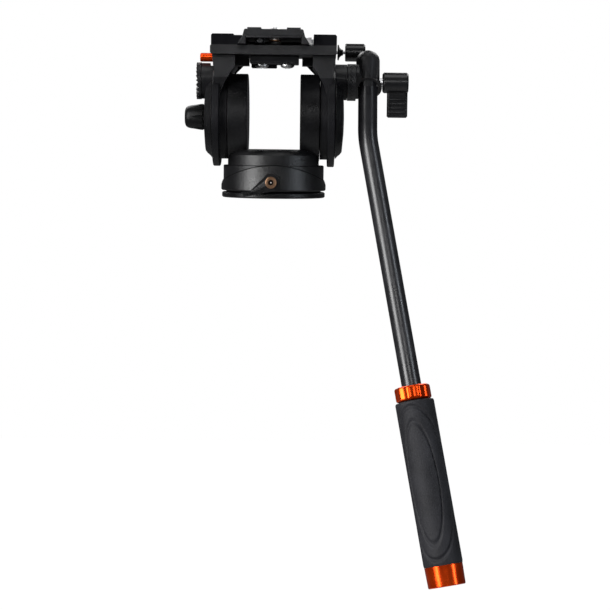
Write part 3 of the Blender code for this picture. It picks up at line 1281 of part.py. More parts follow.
def bar_elbow():
    """The cast clamp that joins the rosette to the tube, cut slantwise where the tube leaves it."""
    low = -ELBOW_BACK_LIP - OVERRUN
    shoulder = ELBOW_TOP - ELBOW_RADIUS
    profile = [(out * ELBOW_RADIUS, shoulder + up * ELBOW_RADIUS) for out, up in ELBOW_DOME_SHARES]
    profile += [(ELBOW_RADIUS, low), (0, low)]
    part = turned("bar_elbow", profile, MEDIUM_STEPS, BAR_FRAME)
    part.location.x = BAR_OFFSET
    flange_end = ELBOW_FACE + ELBOW_FLANGE_THICKNESS
    neck_end = BAR_OFFSET - ELBOW_RADIUS / 2
    profile = [
        (0, neck_end),
        (ELBOW_NECK_RADIUS, neck_end),
        (ELBOW_FLANGE_RADIUS, flange_end),
        (ELBOW_FLANGE_RADIUS, ELBOW_FACE),
        (0, ELBOW_FACE),
    ]
    joined(part, along_x(turned("elbow_flange", profile, MEDIUM_STEPS, BAR_FRAME), 1, 0))
    lean = math.atan2(ELBOW_FRONT_LIP + ELBOW_BACK_LIP, 2 * ELBOW_RADIUS)
    middle = (ELBOW_FRONT_LIP - ELBOW_BACK_LIP) / 2
    reach = 2 * ELBOW_TOP
    radius = ELBOW_LIP_RADIUS
    lip = rod("elbow_lip", radius, -OVERRUN, ELBOW_LIP_HEIGHT, MEDIUM_STEPS, BAR_FRAME, EDGE_BREAK)
    lip.rotation_euler = (-lean, 0, 0)
    lip.location = (BAR_OFFSET, 0, middle)
    room = block("lip_rosette_room", (0.0, -reach, -reach), (ELBOW_FACE + SEAT_GAP, reach, reach), BAR_FRAME)
    joined(part, cut(lip, room))
    bore = rod("elbow_bore", BORE_RADIUS, low - OVERRUN, TUBE_INSERT + SEAT_GAP, MEDIUM_STEPS, BAR_FRAME)
    bore.location.x = BAR_OFFSET
    near = BAR_OFFSET - ELBOW_LIP_RADIUS - OVERRUN
    slant = block("elbow_slant", (0.0, -reach, -reach), (reach, reach, 0.0), BAR_FRAME)
    slant.rotation_euler = (-lean, 0, 0)
    half = reach / 2
    slant.location = (near + half, -half * math.sin(lean), middle - half * math.cos(lean))
    beyond = BAR_OFFSET + ELBOW_RADIUS + OVERRUN
    hole = rod("elbow_bolt_hole", BOLT_HOLE_RADIUS, ELBOW_FACE - OVERRUN, beyond, parent=BAR_FRAME)
    cut(part, slant, bore, along_x(hole, 1, 0))
    return cast_metal(part)


def bar_rosette():
    part = rosette("bar_rosette", 1, -1, ELBOW_FACE - SEAT_GAP, BAR_RING_START, BAR_FRAME)
    return cast_metal(part)


def tube_route(extra):
    """The middle line of the tube in the bar's frame, straight on both sides of its bend."""
    tangent = TUBE_BEND_RADIUS * math.tan(TUBE_BEND_ANGLE / 2)
    points = [(BAR_OFFSET, 0.0, TUBE_INSERT + extra)]
    for step in range(TUBE_BEND_STEPS + 1):
        angle = TUBE_BEND_ANGLE * step / TUBE_BEND_STEPS
        x = BAR_OFFSET + TUBE_BEND_RADIUS * (1 - math.cos(angle))
        z = -(TUBE_BEND_DISTANCE - tangent) - TUBE_BEND_RADIUS * math.sin(angle)
        points.append((x, 0.0, z))
    reach = TUBE_END + extra
    x = BAR_OFFSET + reach * math.sin(TUBE_BEND_ANGLE)
    z = -TUBE_BEND_DISTANCE - reach * math.cos(TUBE_BEND_ANGLE)
    points.append((x, 0.0, z))
    return points


def bar_tube():
    part = wire("bar_tube", tube_route(0.0), TUBE_RADIUS, TUBE_SIDES_QUARTER, BAR_FRAME)
    beyond = BAR_OFFSET + ELBOW_RADIUS + OVERRUN
    hole = rod("tube_bolt_hole", BOLT_HOLE_RADIUS, ELBOW_FACE, beyond, parent=BAR_FRAME)
    cut(part, along_x(hole, 1, 0))
    inner = TUBE_RADIUS - TUBE_WALL
    cut(part, wire("tube_bore", tube_route(OVERRUN), inner, TUBE_SIDES_QUARTER, BAR_FRAME))
    return finish(part, SATIN_BLACK, 0.35)


def front_ring():
    """The fluted ring in front of the grip: wide scallops round a plain collar."""
    start = -FRONT_RING_START
    end = start - FRONT_RING_LENGTH
    steps = FLUTE_STEPS // 2 * FRONT_RING_FLUTES
    profile = [
        (BORE_RADIUS, start),
        (FRONT_RING_RADIUS - 2 * EDGE_BREAK, start),
        (FRONT_RING_RADIUS, start - 2 * EDGE_BREAK),
        (FRONT_RING_RADIUS, end + 2 * EDGE_BREAK),
        (FRONT_RING_RADIUS - 2 * EDGE_BREAK, end),
        (BORE_RADIUS, end),
    ]
    part = turned("front_ring", profile, steps, GRIP_FRAME)
    bpy.context.view_layer.update()
    graph = bpy.context.evaluated_depsgraph_get()
    mesh = bpy.data.meshes.new_from_object(part.evaluated_get(graph))
    part.modifiers.clear()
    part.data = mesh
    for vertex in mesh.vertices:
        radius = math.hypot(vertex.co.x, vertex.co.y)
        if radius < FRONT_RING_RADIUS - WELD_DISTANCE:
            continue
        angle = math.atan2(vertex.co.y, vertex.co.x)
        dip = FRONT_RING_FLUTE_DEPTH * (1 - abs(math.cos(FRONT_RING_FLUTES * angle / 2)))
        vertex.co.x *= (radius - dip) / radius
        vertex.co.y *= (radius - dip) / radius
    return finish(part, ANODISED_ORANGE, 0.25, 0.9)


def grip():
    start = -GRIP_START
    end = start - GRIP_LENGTH
    profile = [
        (BORE_RADIUS, start),
        (GRIP_END_RADIUS, start),
        (GRIP_RADIUS, start - GRIP_END_ROUND),
        (GRIP_RADIUS, end + GRIP_END_ROUND),
        (GRIP_END_RADIUS, end),
        (BORE_RADIUS, end),
    ]
    return finish(turned("grip", profile, MEDIUM_STEPS, GRIP_FRAME), RUBBER_GREY, 0.8)


def end_cap():
    start = -END_CAP_START
    end = start - END_CAP_LENGTH
    profile = [
        (0, end + END_CAP_FLOOR),
        (BORE_RADIUS, end + END_CAP_FLOOR),
        (BORE_RADIUS, start),
        (END_CAP_RADIUS, start),
        (END_CAP_END_RADIUS, end + EDGE_BREAK),
        (END_CAP_END_RADIUS - EDGE_BREAK, end),
        (0, end),
    ]
    return finish(turned("end_cap", profile, MEDIUM_STEPS, GRIP_FRAME), ANODISED_ORANGE, 0.25, 0.9)


def bar_bolt():
    start = ROSETTE_BOSS_END - BAR_BOLT_IN_ARM
    end = WING_KNOB_START + WING_BOLT_DEPTH
    bolt = rod("bar_bolt", BAR_BOLT_RADIUS, start, end, SMALL_STEPS, WING_FRAME, EDGE_BREAK)
    bare_metal(along_x(bolt, 1, 0), STEEL)


def wing_knob():
    end = WING_KNOB_START + WING_KNOB_LENGTH
    radius = WING_KNOB_RADIUS
    knob = rod("wing_knob", radius, WING_KNOB_START, end, MEDIUM_STEPS, WING_FRAME, 2 * EDGE_BREAK)
    along_x(knob, 1, 0)
    half = WING_THICKNESS / 2
    low = (WING_KNOB_START + WING_START, -half, -WING_REACH)
    high = (end - WING_END_INSET, half, 0.0)
    joined(knob, block("wing", low, high, WING_FRAME, 2 * EDGE_BREAK))
    depth = WING_KNOB_START + WING_BOLT_DEPTH + SEAT_GAP
    bore = rod("wing_bore", BOLT_HOLE_RADIUS, WING_KNOB_START - OVERRUN, depth, parent=WING_FRAME)
    cut(knob, along_x(bore, 1, 0))
    finish(knob, PLASTIC_BLACK, 0.45)


PAN_FRAME = joint_frame("pan_axis", (0, 0, 0))
PAN_LOCK_FRAME = joint_frame("pan_lock_axis", (PAN_LOCK_OFFSET, 0, PAN_LOCK_HEIGHT), parent=PAN_FRAME)
TILT_FRAME = joint_frame("tilt_axis", (0, 0, TILT_AXIS_HEIGHT), parent=PAN_FRAME)
TILT_KNOB_FRAME = joint_frame("tilt_knob_axis", (0, 0, 0), parent=TILT_FRAME)
JAW_FRAME = joint_frame("jaw_axis", (0, 0, 0), parent=TILT_FRAME)
PLATE_LOCK_FRAME = joint_frame(
    "plate_lock_axis", (0, PLATE_LOCK_DEPTH, PLATE_LOCK_HEIGHT - TILT_AXIS_HEIGHT), parent=TILT_FRAME
)
BUTTON_FRAME = joint_frame("button_axis", (0, 0, BUTTON_HEIGHT - TILT_AXIS_HEIGHT), parent=TILT_FRAME)
PLATE_FRAME = joint_frame("plate_axis", (0, 0, PLATE_BOTTOM - TILT_AXIS_HEIGHT), parent=TILT_FRAME)
CAMERA_SCREW_FRAME = joint_frame("camera_screw_axis", (0, 0, 0), parent=PLATE_FRAME)
ROSETTE_FRAME = joint_frame("rosette_axis", (0, 0, ROSETTE_HEIGHT - TILT_AXIS_HEIGHT), parent=TILT_FRAME)
BAR_FRAME = joint_frame("bar_axis", (0, 0, 0), (-BAR_TILT, 0, 0), ROSETTE_FRAME)
GRIP_FRAME = joint_frame(
    "grip_axis", (BAR_OFFSET, 0, -TUBE_BEND_DISTANCE), (0, -TUBE_BEND_ANGLE, 0), BAR_FRAME
)
WING_FRAME = joint_frame("wing_axis", (0, 0, 0), parent=ROSETTE_FRAME)

mounting_disc()
thread_bushing()
pan_spindle()
pan_rings()
base_shell()
yoke()
pan_lock()
brake_shoe()
for arm_side in (-1, 1):
    tilt_arm(arm_side)
    side_cover(arm_side)
    axle(arm_side)
drag_cartridge()
counterbalance_spring()
head_rosettes()
tilt_knob()
platform()
clamp_jaw()
plate_lock()
safety_button()
under_cover()
camera_plate()
camera_screw()
bar_elbow()
bar_rosette()
bar_tube()
front_ring()
grip()
end_cap()
bar_bolt()
wing_knob()
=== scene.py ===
"""Looks of the fluid video head: materials, fine pieces, light and the photograph's camera."""

import json
import math
from functools import partial

import bmesh
import bpy
from mathutils import Matrix, Vector


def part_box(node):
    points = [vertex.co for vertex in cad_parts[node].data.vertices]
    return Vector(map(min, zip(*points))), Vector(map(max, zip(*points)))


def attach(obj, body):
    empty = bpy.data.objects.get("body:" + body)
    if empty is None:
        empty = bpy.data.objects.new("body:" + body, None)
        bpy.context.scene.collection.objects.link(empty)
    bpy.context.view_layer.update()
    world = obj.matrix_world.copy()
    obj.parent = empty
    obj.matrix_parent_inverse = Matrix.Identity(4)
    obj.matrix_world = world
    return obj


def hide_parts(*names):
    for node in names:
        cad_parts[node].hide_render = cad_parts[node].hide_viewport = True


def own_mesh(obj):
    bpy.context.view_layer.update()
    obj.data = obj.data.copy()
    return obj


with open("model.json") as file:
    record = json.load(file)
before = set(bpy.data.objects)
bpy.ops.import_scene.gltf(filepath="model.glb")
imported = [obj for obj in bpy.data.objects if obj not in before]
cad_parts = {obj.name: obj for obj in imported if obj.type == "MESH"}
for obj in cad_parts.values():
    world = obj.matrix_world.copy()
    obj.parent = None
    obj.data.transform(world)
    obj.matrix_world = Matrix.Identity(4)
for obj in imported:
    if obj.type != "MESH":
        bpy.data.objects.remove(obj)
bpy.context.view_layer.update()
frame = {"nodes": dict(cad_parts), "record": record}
nodes = frame["nodes"]
scene = bpy.context.scene

# Places and sizes that the frame's solids have, in metres
BAR_AXIS = Vector((0, 0, 0.082))
BAR_OFFSET = 0.0664
BAR_TILT = math.radians(15)
TUBE_BEND_DISTANCE = 0.04
TUBE_BEND_ANGLE = math.radians(10.05)
TUBE_BEND_RADIUS = 0.075
TUBE_RADIUS = 0.0068
FRONT_RING_START = 0.1797
FRONT_RING_LENGTH = 0.0098
FRONT_RING_RADIUS = 0.0124
GRIP_START = 0.1904
GRIP_LENGTH = 0.1125
GRIP_RADIUS = 0.0136
PAN_LOCK_PLACE = (-0.001, -0.0422, 0.0114)
COVER_SCREW_X = 0.0091
COVER_SCREW_TOP = 0.0939
CLEARANCE = 0.0003

# Frame of the lower bar: its own -Z runs down the bar from the bend
BAR_FRAME = Matrix.Translation(BAR_AXIS) @ Matrix.Rotation(-BAR_TILT, 4, "X")
GRIP_FRAME = (
    BAR_FRAME
    @ Matrix.Translation((BAR_OFFSET, 0, -TUBE_BEND_DISTANCE))
    @ Matrix.Rotation(-TUBE_BEND_ANGLE, 4, "Y")
)
WORLD_FRAME = Matrix()


def add(name, data, body=None):
    """Links a new object to the scene and lets it ride on a body of the frame, if one is given."""
    made = bpy.data.objects.new(name, data)
    scene.collection.objects.link(made)
    if body:
        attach(made, body)
    return made


# Camera: the lens and sensor in millimetres, the eye in metres
LENS = 100.9
SENSOR_WIDTH = 36
EYE = (0.0235, -1.225, 0.0407)
LOOK_DOWN = math.radians(5.5)
ROLL = math.radians(0.65)
LEVEL = math.radians(90)
NEAR = 0.05
FAR = 50


def camera():
    """The photograph's camera: a long lens a little above the base, pitched down, with a slight roll."""
    lens = bpy.data.cameras.new("photo_camera")
    lens.sensor_width = SENSOR_WIDTH
    lens.sensor_fit = "HORIZONTAL"
    lens.lens = LENS
    lens.clip_start = NEAR
    lens.clip_end = FAR
    eye = add("photo_camera", lens)
    turn = Matrix.Rotation(LEVEL - LOOK_DOWN, 4, "X") @ Matrix.Rotation(ROLL, 4, "Z")
    eye.matrix_world = Matrix.Translation(EYE) @ turn
    scene.camera = eye


# Studio: a dim room that shows white to the camera, with a floor far below the head
ROOM_COLOUR = (0.95, 0.97, 1.0, 1)
ROOM_STRENGTH = 0.07
WHITE = (1, 1, 1, 1)
FLOOR_HALF_WIDTH = 8
FLOOR_HEIGHT = -1.6
FLOOR_COLOUR = (0.8, 0.8, 0.8, 1)
FLOOR_ROUGHNESS = 0.9
FLOOR_GLOW = 1.26
FLOOR_GLOW_SHARE = 0.8
LIT_PLACE = Vector((0.03, 0, 0.0))
DAYLIGHT = (0.85, 0.92, 1.0)


def softbox(name, azimuth, elevation, distance, width, height, watts, colour=(1, 1, 1)):
    """An area lamp that looks at the head.

    The azimuth is counted in degrees from the camera's side, positive to the right.
    """
    lamp = bpy.data.lights.new(name, "AREA")
    lamp.shape = "RECTANGLE"
    lamp.size = width
    lamp.size_y = height
    lamp.energy = watts
    lamp.color = colour
    box = add(name, lamp)
    a = math.radians(azimuth)
    e = math.radians(elevation)
    place = Vector((math.sin(a) * math.cos(e), -math.cos(a) * math.cos(e), math.sin(e))) * distance
    box.location = LIT_PLACE + place
    box.rotation_euler = (-place).to_track_quat("-Z", "Y").to_euler()


def room():
    """The world: dim light on the head, and plain white for the camera."""
    world = bpy.data.worlds.new("studio")
    scene.world = world
    world.use_nodes = True
    tree = world.node_tree
    tree.nodes.clear()
    out = tree.nodes.new("ShaderNodeOutputWorld")
    path = tree.nodes.new("ShaderNodeLightPath")
    dim = tree.nodes.new("ShaderNodeBackground")
    dim.inputs[0].default_value = ROOM_COLOUR
    dim.inputs[1].default_value = ROOM_STRENGTH
    white = tree.nodes.new("ShaderNodeBackground")
    white.inputs[0].default_value = WHITE
    white.inputs[1].default_value = 1.0
    mix = tree.nodes.new("ShaderNodeMixShader")
    tree.links.new(path.outputs["Is Camera Ray"], mix.inputs[0])
    tree.links.new(dim.outputs[0], mix.inputs[1])
    tree.links.new(white.outputs[0], mix.inputs[2])
    tree.links.new(mix.outputs[0], out.inputs[0])


def floor():
    """A plain pale floor, which the camera sees as white as the background."""
    shape = bmesh.new()
    bmesh.ops.create_grid(shape, x_segments=1, y_segments=1, size=FLOOR_HALF_WIDTH)
    mesh = bpy.data.meshes.new("floor")
    shape.to_mesh(mesh)
    shape.free()
    sheet = add("floor", mesh)
    sheet.location = (0, 0, FLOOR_HEIGHT)
    paper = bpy.data.materials.new("floor_paper")
    paper.use_nodes = True
    tree = paper.node_tree
    shader = tree.nodes["Principled BSDF"]
    shader.inputs["Base Color"].default_value = FLOOR_COLOUR
    shader.inputs["Roughness"].default_value = FLOOR_ROUGHNESS
    out = tree.nodes["Material Output"]
    path = tree.nodes.new("ShaderNodeLightPath")
    glow = tree.nodes.new("ShaderNodeEmission")
    glow.inputs[0].default_value = WHITE
    glow.inputs[1].default_value = FLOOR_GLOW
    share = tree.nodes.new("ShaderNodeMath")
    share.operation = "MULTIPLY"
    share.inputs[1].default_value = FLOOR_GLOW_SHARE
    mix = tree.nodes.new("ShaderNodeMixShader")
    tree.links.new(path.outputs["Is Camera Ray"], share.inputs[0])
    tree.links.new(share.outputs[0], mix.inputs[0])
    tree.links.new(shader.outputs[0], mix.inputs[1])
    tree.links.new(glow.outputs[0], mix.inputs[2])
    tree.links.new(mix.outputs[0], out.inputs[0])
    mesh.materials.append(paper)


def studio():
    """The room, the floor and the soft lamps."""
    scene.view_settings.view_transform = "Standard"
    room()
    floor()
    softbox("left_softbox", azimuth=-49, elevation=14, distance=1.5, width=0.7, height=1.4, watts=36)
    softbox(
        "right_softbox",
        azimuth=55,
        elevation=14,
        distance=1.6,
        width=0.22,
        height=1.3,
        watts=9,
        colour=DAYLIGHT,
    )
    softbox("back_right_softbox", azimuth=150, elevation=38, distance=1.8, width=0.9, height=0.7, watts=11)
    softbox("back_left_softbox", azimuth=-150, elevation=38, distance=1.8, width=0.9, height=0.7, watts=11)
    softbox("top_softbox", azimuth=20, elevation=80, distance=1.7, width=0.9, height=0.9, watts=5.5)
    softbox("front_softbox", azimuth=2, elevation=19, distance=1.7, width=0.6, height=0.16, watts=2.6)


# Grain of a surface: a fine and a broad noise, which a ramp and a range turn into colour and gloss
FINE_DETAIL = 3
FINE_SHARE = 0.6
BROAD_SCALE = 60
BROAD_DETAIL = 4
RAMP_START = 0.62
GLOSS_START = 0.3
GLOSS_END = 0.7


def surface(name, dark, light, roughness, metallic=0.0, grain=0.0005, bump=0.0, spread=0.06, specular=0.5):
    """A material with a fine grain: its colour runs from dark to light and its gloss varies a little.

    grain is the size of one grain, and bump its height, both in metres.
    """
    made = bpy.data.materials.new(name)
    made.use_nodes = True
    tree = made.node_tree
    shader = tree.nodes["Principled BSDF"]
    shader.inputs["Metallic"].default_value = metallic
    shader.inputs["Specular IOR Level"].default_value = specular
    place = tree.nodes.new("ShaderNodeTexCoord")
    fine = tree.nodes.new("ShaderNodeTexNoise")
    fine.inputs["Scale"].default_value = 1.0 / grain
    fine.inputs["Detail"].default_value = FINE_DETAIL
    broad = tree.nodes.new("ShaderNodeTexNoise")
    broad.inputs["Scale"].default_value = BROAD_SCALE
    broad.inputs["Detail"].default_value = BROAD_DETAIL
    for noise in (fine, broad):
        tree.links.new(place.outputs["Object"], noise.inputs["Vector"])
    both = tree.nodes.new("ShaderNodeMath")
    both.operation = "MULTIPLY_ADD"
    both.inputs[1].default_value = FINE_SHARE
    tree.links.new(fine.outputs["Fac"], both.inputs[0])
    tree.links.new(broad.outputs["Fac"], both.inputs[2])
    ramp = tree.nodes.new("ShaderNodeValToRGB")
    start, end = ramp.color_ramp.elements
    start.position = RAMP_START
    start.color = (*dark, 1)
    end.position = 1.0
    end.color = (*light, 1)
    tree.links.new(both.outputs[0], ramp.inputs[0])
    tree.links.new(ramp.outputs[0], shader.inputs["Base Color"])
    gloss = tree.nodes.new("ShaderNodeMapRange")
    gloss.inputs["From Min"].default_value = GLOSS_START
    gloss.inputs["From Max"].default_value = GLOSS_END
    gloss.inputs["To Min"].default_value = roughness - spread
    gloss.inputs["To Max"].default_value = roughness + spread
    tree.links.new(broad.outputs["Fac"], gloss.inputs["Value"])
    tree.links.new(gloss.outputs["Result"], shader.inputs["Roughness"])
    if bump:
        relief = tree.nodes.new("ShaderNodeBump")
        relief.inputs["Strength"].default_value = 1.0
        relief.inputs["Distance"].default_value = bump
        tree.links.new(fine.outputs["Fac"], relief.inputs["Height"])
        tree.links.new(relief.outputs["Normal"], shader.inputs["Normal"])
    return made


def painted_shade_by_height(name, source, height, below, above, soft=0.0001):
    """A copy of a finish whose gloss changes at a height, in the part's own coordinates: painted shade on
    the side that reflects less.
    """
    made = source.copy()
    made.name = name
    tree = made.node_tree
    shader = tree.nodes["Principled BSDF"]
    place = next(node for node in tree.nodes if node.type == "TEX_COORD")
    split = tree.nodes.new("ShaderNodeSeparateXYZ")
    tree.links.new(place.outputs["Object"], split.inputs[0])
    gloss = tree.nodes.new("ShaderNodeMapRange")
    gloss.inputs["From Min"].default_value = height - soft
    gloss.inputs["From Max"].default_value = height + soft
    gloss.inputs["To Min"].default_value = below
    gloss.inputs["To Max"].default_value = above
    tree.links.new(split.outputs["Z"], gloss.inputs["Value"])
    tree.links.new(gloss.outputs["Result"], shader.inputs["Specular IOR Level"])
    return made


camera()
studio()

# Paints and plastics: dark and light colour, roughness, and the grain
CAST = dict(
    dark=(0.002, 0.002, 0.0022),
    light=(0.006, 0.006, 0.0067),
    roughness=0.3,
    grain=0.0007,
    bump=0.0002,
    spread=0.05,
)
cast = surface("cast_black", specular=0.28, **CAST)
base_paint = surface("base_paint", specular=0.4, **CAST)
satin = surface(
    "satin_black",
    dark=(0.004, 0.004, 0.0046),
    light=(0.009, 0.009, 0.0105),
    roughness=0.4,
    grain=0.0005,
    bump=0.0001,
    spread=0.05,
    specular=0.32,
)
plastic = surface(
    "plastic_black",
    dark=(0.003, 0.003, 0.0033),
    light=(0.007, 0.007, 0.0077),
    roughness=0.26,
    grain=0.0006,
    bump=0.00002,
    spread=0.04,
    specular=0.32,
)
dull_plastic = surface(
    "dull_plastic",
    dark=(0.002, 0.002, 0.0022),
    light=(0.004, 0.004, 0.0044),
    roughness=0.42,
    grain=0.0006,
    specular=0.13,
)
rubber = surface(
    "rubber_grey",
    dark=(0.009, 0.009, 0.011),
    light=(0.022, 0.022, 0.026),
    roughness=0.6,
    grain=0.0007,
    bump=0.0003,
    spread=0.04,
    specular=0.25,
)
# Near-black rubber, for the friction ring, and for the pieces that paint shade in the base's seam and in
# the pan lock's socket
rubber_and_shade = surface(
    "black_rubber_and_painted_shade",
    dark=(0.001, 0.001, 0.001),
    light=(0.003, 0.003, 0.003),
    roughness=0.8,
    specular=0.1,
)
tube_paint = surface(
    "tube_paint",
    dark=(0.009, 0.009, 0.010),
    light=(0.016, 0.016, 0.018),
    roughness=0.3,
)
nylon = surface(
    "nylon",
    dark=(0.66, 0.64, 0.58),
    light=(0.76, 0.74, 0.68),
    roughness=0.5,
    grain=0.0006,
    bump=0.00001,
)
orange = surface(
    "anodised_orange",
    dark=(0.68, 0.042, 0.0008),
    light=(0.84, 0.075, 0.004),
    roughness=0.22,
    metallic=0.85,
    grain=0.0004,
    bump=0.000002,
)

# Bare metals
METAL = dict(metallic=1.0, grain=0.0004, bump=0.000006)
steel = surface("steel", (0.48, 0.48, 0.49), (0.62, 0.62, 0.63), roughness=0.28, **METAL)
bright = surface("bright_steel", (0.72, 0.72, 0.72), (0.84, 0.84, 0.84), roughness=0.4, **METAL)
bronze = surface("bronze", (0.20, 0.12, 0.07), (0.31, 0.185, 0.115), roughness=0.4, **METAL)
brass = surface("brass", (0.52, 0.36, 0.14), (0.66, 0.48, 0.22), roughness=0.32, **METAL)

finishes = {
    "cast_black": cast,
    "satin_black": satin,
    "plastic_black": plastic,
    "rubber_grey": rubber,
    "anodised_orange": orange,
    "steel": steel,
    "bronze": bronze,
    "brass": brass,
    "nylon": nylon,
}
for part in frame["record"]["subparts"]:
    shown = nodes[part["node"]]
    shown.data.materials.clear()
    shown.data.materials.append(finishes[part["material_slot"]])

# Nodes whose finish differs a little from their slot's. Three of them reflect less in one zone, which
# paints
# shade there: on the rails above the front bar, on the arms below their top, and on the yoke's drums above
# its foot.
# The arms reflect less below their top: painted shade on their lower flanges
arm_painted_shade = painted_shade_by_height("arm_painted_shade", satin, height=0.084, below=0.12, above=0.36)
own_finishes = {
    "bar_tube": satin,
    "bar_elbow": satin,
    "bar_rosette": satin,
    "left_rosette": satin,
    "right_rosette": satin,
    "pan_friction_ring": rubber_and_shade,
    "tilt_lock_knob": dull_plastic,
    "base_shell": base_paint,
    "left_arm": arm_painted_shade,
    "right_arm": arm_painted_shade,
    # The rails above the front bar reflect nothing: painted shade
    "platform": painted_shade_by_height("platform_painted_shade", satin, height=0.1061, below=0.4, above=0.0),
    # The yoke's drums reflect less than its foot: painted shade on the drums
    "yoke": painted_shade_by_height("yoke_painted_shade", cast, height=0.0336, below=0.36, above=0.2),
}
for name, finish in own_finishes.items():
    nodes[name].data.materials[0] = finish


# Shading of the solids: corners within WELD_DISTANCE are one, and edges over SMOOTH_ANGLE stay sharp
WELD_DISTANCE = 0.000002
SMOOTH_ANGLE = math.radians(30)
ROUND_ANGLE = math.radians(35)
ROUND_SEGMENTS = 2
EDGE_ROUNDS = {
    "platform": 0.0004,
    "left_arm": 0.0004,
    "right_arm": 0.0004,
    "yoke": 0.0004,
    "base_shell": 0.0003,
    "mounting_disc": 0.0003,
    "lock_cover": 0.0003,
    "camera_plate": 0.0003,
    "bar_elbow": 0.0003,
    "wing_knob": 0.0006,
    "plate_lock_knob": 0.0006,
    "plate_lock_collar": 0.0003,
    "pan_lock_lever": 0.0004,
    "safety_button": 0.0003,
    "end_cap": 0.0003,
}


def smooth_by_angle():
    """A modifier tree that welds a solid's triangles and shades them smooth, but for the sharp edges."""
    tree = bpy.data.node_groups.new("smooth_by_angle", "GeometryNodeTree")
    tree.interface.new_socket("Geometry", in_out="INPUT", socket_type="NodeSocketGeometry")
    tree.interface.new_socket("Geometry", in_out="OUTPUT", socket_type="NodeSocketGeometry")
    start = tree.nodes.new("NodeGroupInput")
    forget = tree.nodes.new("GeometryNodeRemoveAttribute")
    forget.inputs["Name"].default_value = "custom_normal"
    weld = tree.nodes.new("GeometryNodeMergeByDistance")
    weld.inputs["Distance"].default_value = WELD_DISTANCE
    faces = tree.nodes.new("GeometryNodeSetShadeSmooth")
    edges = tree.nodes.new("GeometryNodeSetShadeSmooth")
    edges.domain = "EDGE"
    edges.inputs["Shade Smooth"].default_value = False
    bend = tree.nodes.new("GeometryNodeInputMeshEdgeAngle")
    sharp = tree.nodes.new("FunctionNodeCompare")
    sharp.data_type = "FLOAT"
    sharp.operation = "GREATER_THAN"
    sharp.inputs[1].default_value = SMOOTH_ANGLE
    end = tree.nodes.new("NodeGroupOutput")
    tree.links.new(start.outputs[0], forget.inputs["Geometry"])
    tree.links.new(forget.outputs["Geometry"], weld.inputs["Geometry"])
    tree.links.new(weld.outputs["Geometry"], faces.inputs["Geometry"])
    tree.links.new(faces.outputs["Geometry"], edges.inputs["Geometry"])
    tree.links.new(bend.outputs["Unsigned Angle"], sharp.inputs[0])
    tree.links.new(sharp.outputs[0], edges.inputs["Selection"])
    tree.links.new(edges.outputs["Geometry"], end.inputs[0])
    return tree


def round_edges():
    """Smooth shading for every solid, and small rounds on the sharp edges, so that they catch the light."""
    tree = smooth_by_angle()
    for solid in nodes.values():
        shading = solid.modifiers.new("smooth_by_angle", "NODES")
        shading.node_group = tree
    for node, width in EDGE_ROUNDS.items():
        rounding = nodes[node].modifiers.new("edge_round", "BEVEL")
        rounding.width = width
        rounding.segments = ROUND_SEGMENTS
        rounding.limit_method = "ANGLE"
        rounding.angle_limit = ROUND_ANGLE
        rounding.use_clamp_overlap = True
        rounding.harden_normals = True


def mesh_piece(name, shape, body, material, smooth=30):
    """A piece of the scene from a bmesh, smooth where its faces meet at less than the given degrees."""
    bmesh.ops.recalc_face_normals(shape, faces=shape.faces)
    mesh = bpy.data.meshes.new(name)
    shape.to_mesh(mesh)
    shape.free()
    mesh.shade_smooth()
    mesh.set_sharp_from_angle(angle=math.radians(smooth))
    mesh.materials.append(material)
    return add(name, mesh, body)


def rounded_blocks(name, blocks, round_edge, body, material):
    """One piece of blocks, each given by its lowest and highest corner, with rounded edges."""
    shape = bmesh.new()
    for low, high in blocks:
        made = bmesh.ops.create_cube(shape, size=1.0)["verts"]
        bmesh.ops.scale(shape, vec=[b - a for a, b in zip(low, high)], verts=made)
        bmesh.ops.translate(shape, vec=[(a + b) / 2 for a, b in zip(low, high)], verts=made)
    bmesh.ops.bevel(shape, geom=shape.edges[:], offset=round_edge, segments=3, profile=0.5, affect="EDGES")
    return mesh_piece(name, shape, body, material)


def skin(shape, rows, closed=False):
    """Faces between rows of points, each row a loop or a single point.

    The last row meets the first one if the rows are closed.
    """
    following = rows[1:] + rows[:1] if closed else rows[1:]
    for row, after in zip(rows, following):
        for step in range(max(len(row), len(after))):
            corners = [row[step % len(row)], row[(step + 1) % len(row)]]
            corners += [after[(step + 1) % len(after)], after[step % len(after)]]
            face = list(dict.fromkeys(corners))
            if len(face) > 2:
                shape.faces.new(face)


def close_ends(shape, rows):
    """A flat face over the first row of points and over the last."""
    shape.faces.new(list(reversed(rows[0])))
    shape.faces.new(rows[-1])


def ring(shape, radius, height, steps):
    """A loop of points round the Z axis. The radius may be a function of the angle, as in a socket."""
    row = []
    for step in range(steps):
        angle = 2 * math.pi * step / steps
        reach = radius(angle) if callable(radius) else radius
        row.append(shape.verts.new((reach * math.cos(angle), reach * math.sin(angle), height)))
    return row


def lathe(name, profile, steps, place, body, material, smooth=30):
    """A solid of revolution round a place's Z axis, from (radius, height) points that end on the axis."""
    shape = bmesh.new()
    rows = []
    for radius, height in profile:
        if radius == 0:
            rows.append([shape.verts.new((0, 0, height))])
        else:
            rows.append(ring(shape, radius, height, steps))
    skin(shape, rows)
    shape.transform(place)
    return mesh_piece(name, shape, body, material, smooth)


def ring_piece(name, outline, steps, place, body, material, smooth=30):
    """A ring of revolution from a closed outline of (radius, height) points, which stays off the axis."""
    shape = bmesh.new()
    rows = [ring(shape, radius, height, steps) for radius, height in outline]
    skin(shape, rows, closed=True)
    shape.transform(place)
    return mesh_piece(name, shape, body, material, smooth)


def sleeve(name, heights, steps, radius_of, bore, place, body, material):
    """A closed sleeve round a place's Z axis, one wall of which is a function of height and angle."""
    wall = [(partial(radius_of, height), height) for height in heights]
    wall += [(bore, heights[-1]), (bore, heights[0])]
    return ring_piece(name, wall, steps, place, body, material, smooth=50)


